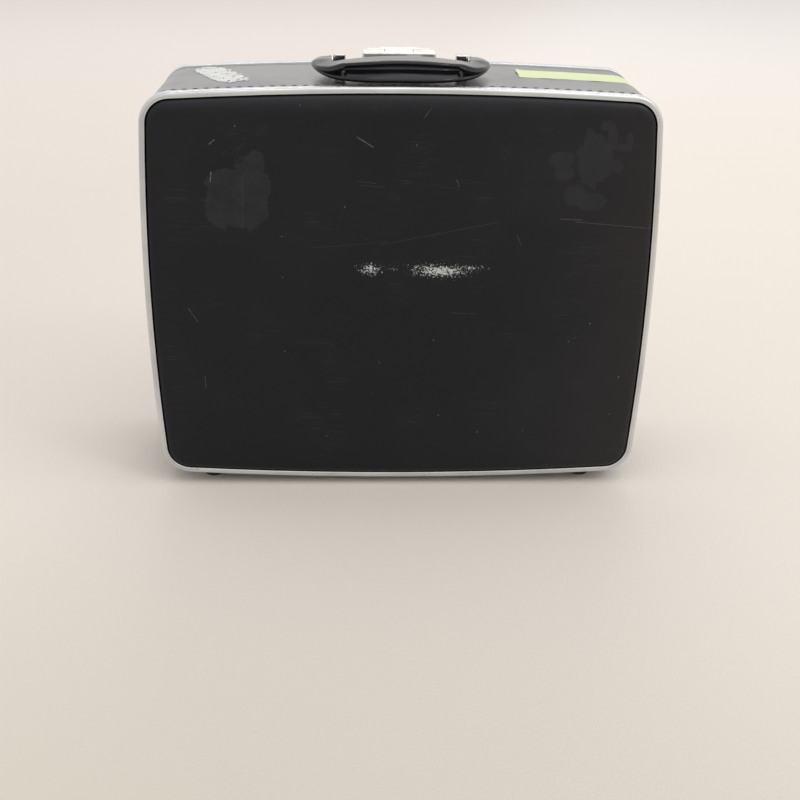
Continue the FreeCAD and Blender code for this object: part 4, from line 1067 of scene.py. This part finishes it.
tape = {
    "width": 0.0355,
    "startX": 0.0905,
    "reach": 0.133,
    "middleY": 0.0125,
    "skew": -0.01,
    "steps": (80, 12),
    "tear": 0.0016,
    "tearSlant": 0.001,
    "ripple": 0.00022,
    "curl": 0.0011,
    "curlFade": 22,  # the curl is gone after a 22nd of the length
    "lift": 0.00012,
    "thickness": 0.00014,
    "colour": (0.71, 0.81, 0.45),
    "pale": (0.77, 0.85, 0.54),
    "dirt": (0.42, 0.50, 0.24),
}


def paintTape(place):
    crepe = place.stretch(0.0011, 0.02, 0.0011).cloud(1.0, 3.0, 0.6)
    slow = place.cloud(60.0, 3.0, 0.6)
    colour = slow.fade(0.3, 0.75).blend(tape["colour"], tape["pale"])
    dirt = place.cloud(300.0, 4.0, 0.7).fade(0.6, 0.75)
    colour = (dirt * 0.3).blend(colour, tape["dirt"])
    height = crepe + slow * 0.8
    return surface(colour, 0.55 + (slow - 0.5) * 0.2, height, 0.00008)


def layTape():
    made = bmesh.new()
    start = bandPath.nearest(tape["startX"], 0.317)
    rows, columns = tape["steps"]
    # the outline runs against X along the top, so the tape runs back along it
    grid = []
    for row in range(rows + 1):
        share = row / rows
        line = []
        for column in range(columns + 1):
            across = column / columns - 0.5
            torn = tape["tear"] * noise.noise(Vector((across * 9, 3.1, 0))) + tape["tearSlant"] * across
            place, out = bandPath.at(start - share * tape["reach"] - (1 - share) ** 6 * torn)
            y = tape["middleY"] + across * tape["width"] + tape["skew"] * share * tape["reach"]
            ripple = tape["ripple"] * max(0, noise.noise(Vector((share * 14, across * 4, 1.7))))
            curl = tape["curl"] * max(0, 1 - share * tape["curlFade"]) ** 2 * (0.5 + across)
            line.append(place + out * (tape["lift"] + ripple + curl) + Vector((0, y, 0)))
        grid.append(loopOf(made, line))
    for before, after in zip(grid, grid[1:]):
        for column in range(columns):
            made.faces.new((before[column], before[column + 1], after[column + 1], after[column]))
    return made


def thicken(piece, thickness):
    solid = piece.modifiers.new("thickness", "SOLIDIFY")
    solid.thickness = thickness
    solid.offset = 1.0


tapePiece = newPiece("masking_tape", layTape(), "lid", newMaterial("yellowTape", paintTape))
thicken(tapePiece, tape["thickness"])

paper = {
    "centre": (-0.1375, 0.0080),
    "half": (0.0260, 0.0480),
    "lean": (0.40, -0.915),
    "long": 0.043,
    "short": 0.0135,
    "cell": (0.0005, 0.0010),
    "fullness": 0.78,
    "ragged": 0.6,
    "edgeGrain": (7, 2.2),
    "holeGrain": (420, 150),
    "holeLimit": 0.62,
    "lift": 0.00006,
    "thickness": 0.00012,
    "seed": 4.0,
    "colour": (0.82, 0.83, 0.82),
    "grey": (0.70, 0.71, 0.70),
    "fibre": (0.36, 0.36, 0.35),
}


def paintPaper(place):
    fibre = place.stretch(0.004, 0.0008, 0.004).cloud(1.0, 4.0, 0.7, 1.0)
    slow = place.cloud(90.0, 3.0, 0.6)
    colour = slow.fade(0.3, 0.75).blend(paper["colour"], paper["grey"])
    colour = (fibre.fade(0.6, 0.8) * 0.4).blend(colour, paper["fibre"])
    return surface(colour, 0.9 + (fibre - 0.5) * 0.1, fibre, 0.0001)


def tornPaper():
    # cells of a fine grid that a ragged outline keeps, laid on the top wall
    made = bmesh.new()
    centreX, centreY = paper["centre"]
    halfX, halfY = paper["half"]
    cellX, cellY = paper["cell"]
    columns, rows = round(2 * halfX / cellX), round(2 * halfY / cellY)
    corners = {}
    middle = bandPath.nearest(centreX, 0.316)

    def corner(column, row):
        if (column, row) not in corners:
            place, out = bandPath.at(middle - (column * cellX - halfX))
            y = centreY + row * cellY - halfY
            corners[column, row] = made.verts.new(place + out * paper["lift"] + Vector((0, y, 0)))
        return corners[column, row]

    def kept(column, row):
        x, y = column * cellX - halfX, row * cellY - halfY
        leanX, leanY = paper["lean"]
        u = (x * leanX + y * leanY) / paper["long"]
        v = (x * leanY - y * leanX) / paper["short"]
        edgeU, edgeV = paper["edgeGrain"]
        holeX, holeY = paper["holeGrain"]
        edge = noise.fractal(Vector((u * edgeU, v * edgeV, paper["seed"])), 0.5, 2.3, 7)
        holes = noise.fractal(Vector((x * holeX, y * holeY, paper["seed"] + 7)), 0.6, 2.1, 4)
        whole = holes < paper["holeLimit"] - 0.3 * max(0, u)
        return abs(u) ** 4 + abs(v) ** 4 + edge * paper["ragged"] < paper["fullness"] and whole

    for column in range(columns):
        for row in range(rows):
            if kept(column, row):
                made.faces.new((corner(column, row), corner(column + 1, row),
                                corner(column + 1, row + 1), corner(column, row + 1)))
    return outward(made)


paperPiece = newPiece("torn_paper", tornPaper(), "lid", newMaterial("tornPaper", paintPaper))
thicken(paperPiece, paper["thickness"])
print("tape and paper laid")

studio = {  # the floor, the light and the sky
    "floorColour": (0.885, 0.825, 0.752),
    # painted shade in front of the case and to the left, painted light far away
    "floorFrontShade": (0.76, 0.700, 0.615),
    "floorFarLight": (0.86, 0.825, 0.805),
    "floorLeftShade": (0.74, 0.680, 0.630),
    "floorPatch": (0.80, 0.745, 0.685),
    "floorRings": (0.4, 1.2, 3.0, 7.0, 14.0),
    "skyColour": (0.92, 0.905, 0.885),
    "fillColour": (1.0, 0.985, 0.97),
    "skyLight": 0.69,
    "sun": 0.72,
    "sunColour": (1.0, 0.985, 0.965),
    "sunSpread": 70,
    "sunTurn": (20, 24, 0),
}

lamps = {  # place, what it faces, size, power and colour
    "strip": ((0.2, 2.8, 2.3), (0, 0, 0.3), (2.2, 0.30), 17, (1.0, 0.985, 0.96)),
    "window": ((1.25, -1.15, 1.75), (0, -0.05, 0.25), (0.40, 0.30), 3, (0.97, 0.985, 1.0)),
}


def paintFloor(place):
    # painted light and shade: paler with distance and towards the right, darker in front of the case and to
    # the left
    x, y, z = place.axes()
    slow = place.cloud(2.2, 4.0, 0.6)
    fine = place.cloud(520.0, 2.0, 0.6)
    # painted light: paler with distance
    colour = (y + slow * 0.1).fade(0.9, 2.9).blend(studio["floorColour"], studio["floorFarLight"])
    # painted shade in front of the case
    colour = (0.15 - x * 0.25 - y).fade(0.25, 0.72).blend(colour, studio["floorFrontShade"])
    # painted shade towards the left
    colour = ((y * 0.3 - x).fade(0.1, 0.7) * 0.6).blend(colour, studio["floorLeftShade"])
    colour = (slow.fade(0.3, 0.75) * 0.12).blend(colour, studio["floorPatch"])
    rough = 0.85 + (fine - 0.5) * 0.1
    return surface(colour, rough, fine + slow * 4.0, 0.0004)


def studioFloor():
    made = bmesh.new()
    turns = [turn * math.pi / 32 for turn in range(64)]
    rings = []
    for radius in studio["floorRings"]:
        rings.append(loopOf(made, [(radius * math.cos(turn), radius * math.sin(turn), 0) for turn in turns]))
    made.faces.new(rings[0])
    for inner, outer in zip(rings, rings[1:]):
        bridge(made, outer, inner)
    return made


meshObject("studio_floor", studioFloor(), newMaterial("paleFloor", paintFloor))


def hangLamp(name, place, target, size, power, colour):
    data = bpy.data.lights.new(name, "AREA")
    data.shape = "RECTANGLE"
    data.size, data.size_y = size
    data.energy = power
    data.color = colour
    made = addObject(name, data)
    made.location = place
    made.rotation_euler = (Vector(target) - Vector(place)).to_track_quat("-Z", "Y").to_euler()


softSun = bpy.data.lights.new("softSun", "SUN")
softSun.energy = studio["sun"]
softSun.angle = math.radians(studio["sunSpread"])
softSun.color = studio["sunColour"]
addObject("softSun", softSun).rotation_euler = [math.radians(turn) for turn in studio["sunTurn"]]
for name, settings in lamps.items():
    hangLamp(name, *settings)

world = bpy.data.worlds.new("paleRoom")
bpy.context.scene.world = world
world.use_nodes = True
sky = world.node_tree
sky.nodes.clear()
start = Wire(sky)
rays = start.node("LightPath")
cameraRay, glossyRay, throughRay = (Wire(sky, rays.socket.node.outputs[name])
                                    for name in ("Is Camera Ray", "Is Glossy Ray", "Is Transmission Ray"))
fill = {"Color": (*studio["fillColour"], 1), "Strength": studio["skyLight"]}
lighting = start.node("Background", sockets=fill)
seen = start.node("Background", sockets={"Color": (*studio["skyColour"], 1), "Strength": 1.0})
share = cameraRay.most(glossyRay).most(throughRay)
mixed = start.node("MixShader", sockets={0: share, 1: lighting, 2: seen})
start.node("OutputWorld", sockets={"Surface": mixed})

shot = {
    "place": (-0.03048, -0.96742, 0.47410),
    "down": 23.89,
    "right": 1.987,
    "roll": 0.772,
    "lens": 55.71,
}


def placeCamera():
    down, right, roll = (math.radians(shot[name]) for name in ("down", "right", "roll"))
    forward = Vector((math.sin(right) * math.cos(down), math.cos(right) * math.cos(down), -math.sin(down)))
    level = Vector((math.cos(right), -math.sin(right), 0))
    upright = level.cross(forward)
    across = level * math.cos(roll) + upright * math.sin(roll)
    top = across.cross(forward)
    data = bpy.data.cameras.new("camera")
    data.sensor_width = 36
    data.lens = shot["lens"]
    data.clip_start, data.clip_end = 0.01, 50
    made = addObject("camera", data)
    turned = Matrix((across, top, -forward)).transposed().to_4x4()
    made.matrix_world = Matrix.Translation(shot["place"]) @ turned
    bpy.context.scene.camera = made


placeCamera()
bpy.context.scene.view_settings.view_transform = "Standard"
print("studio set")
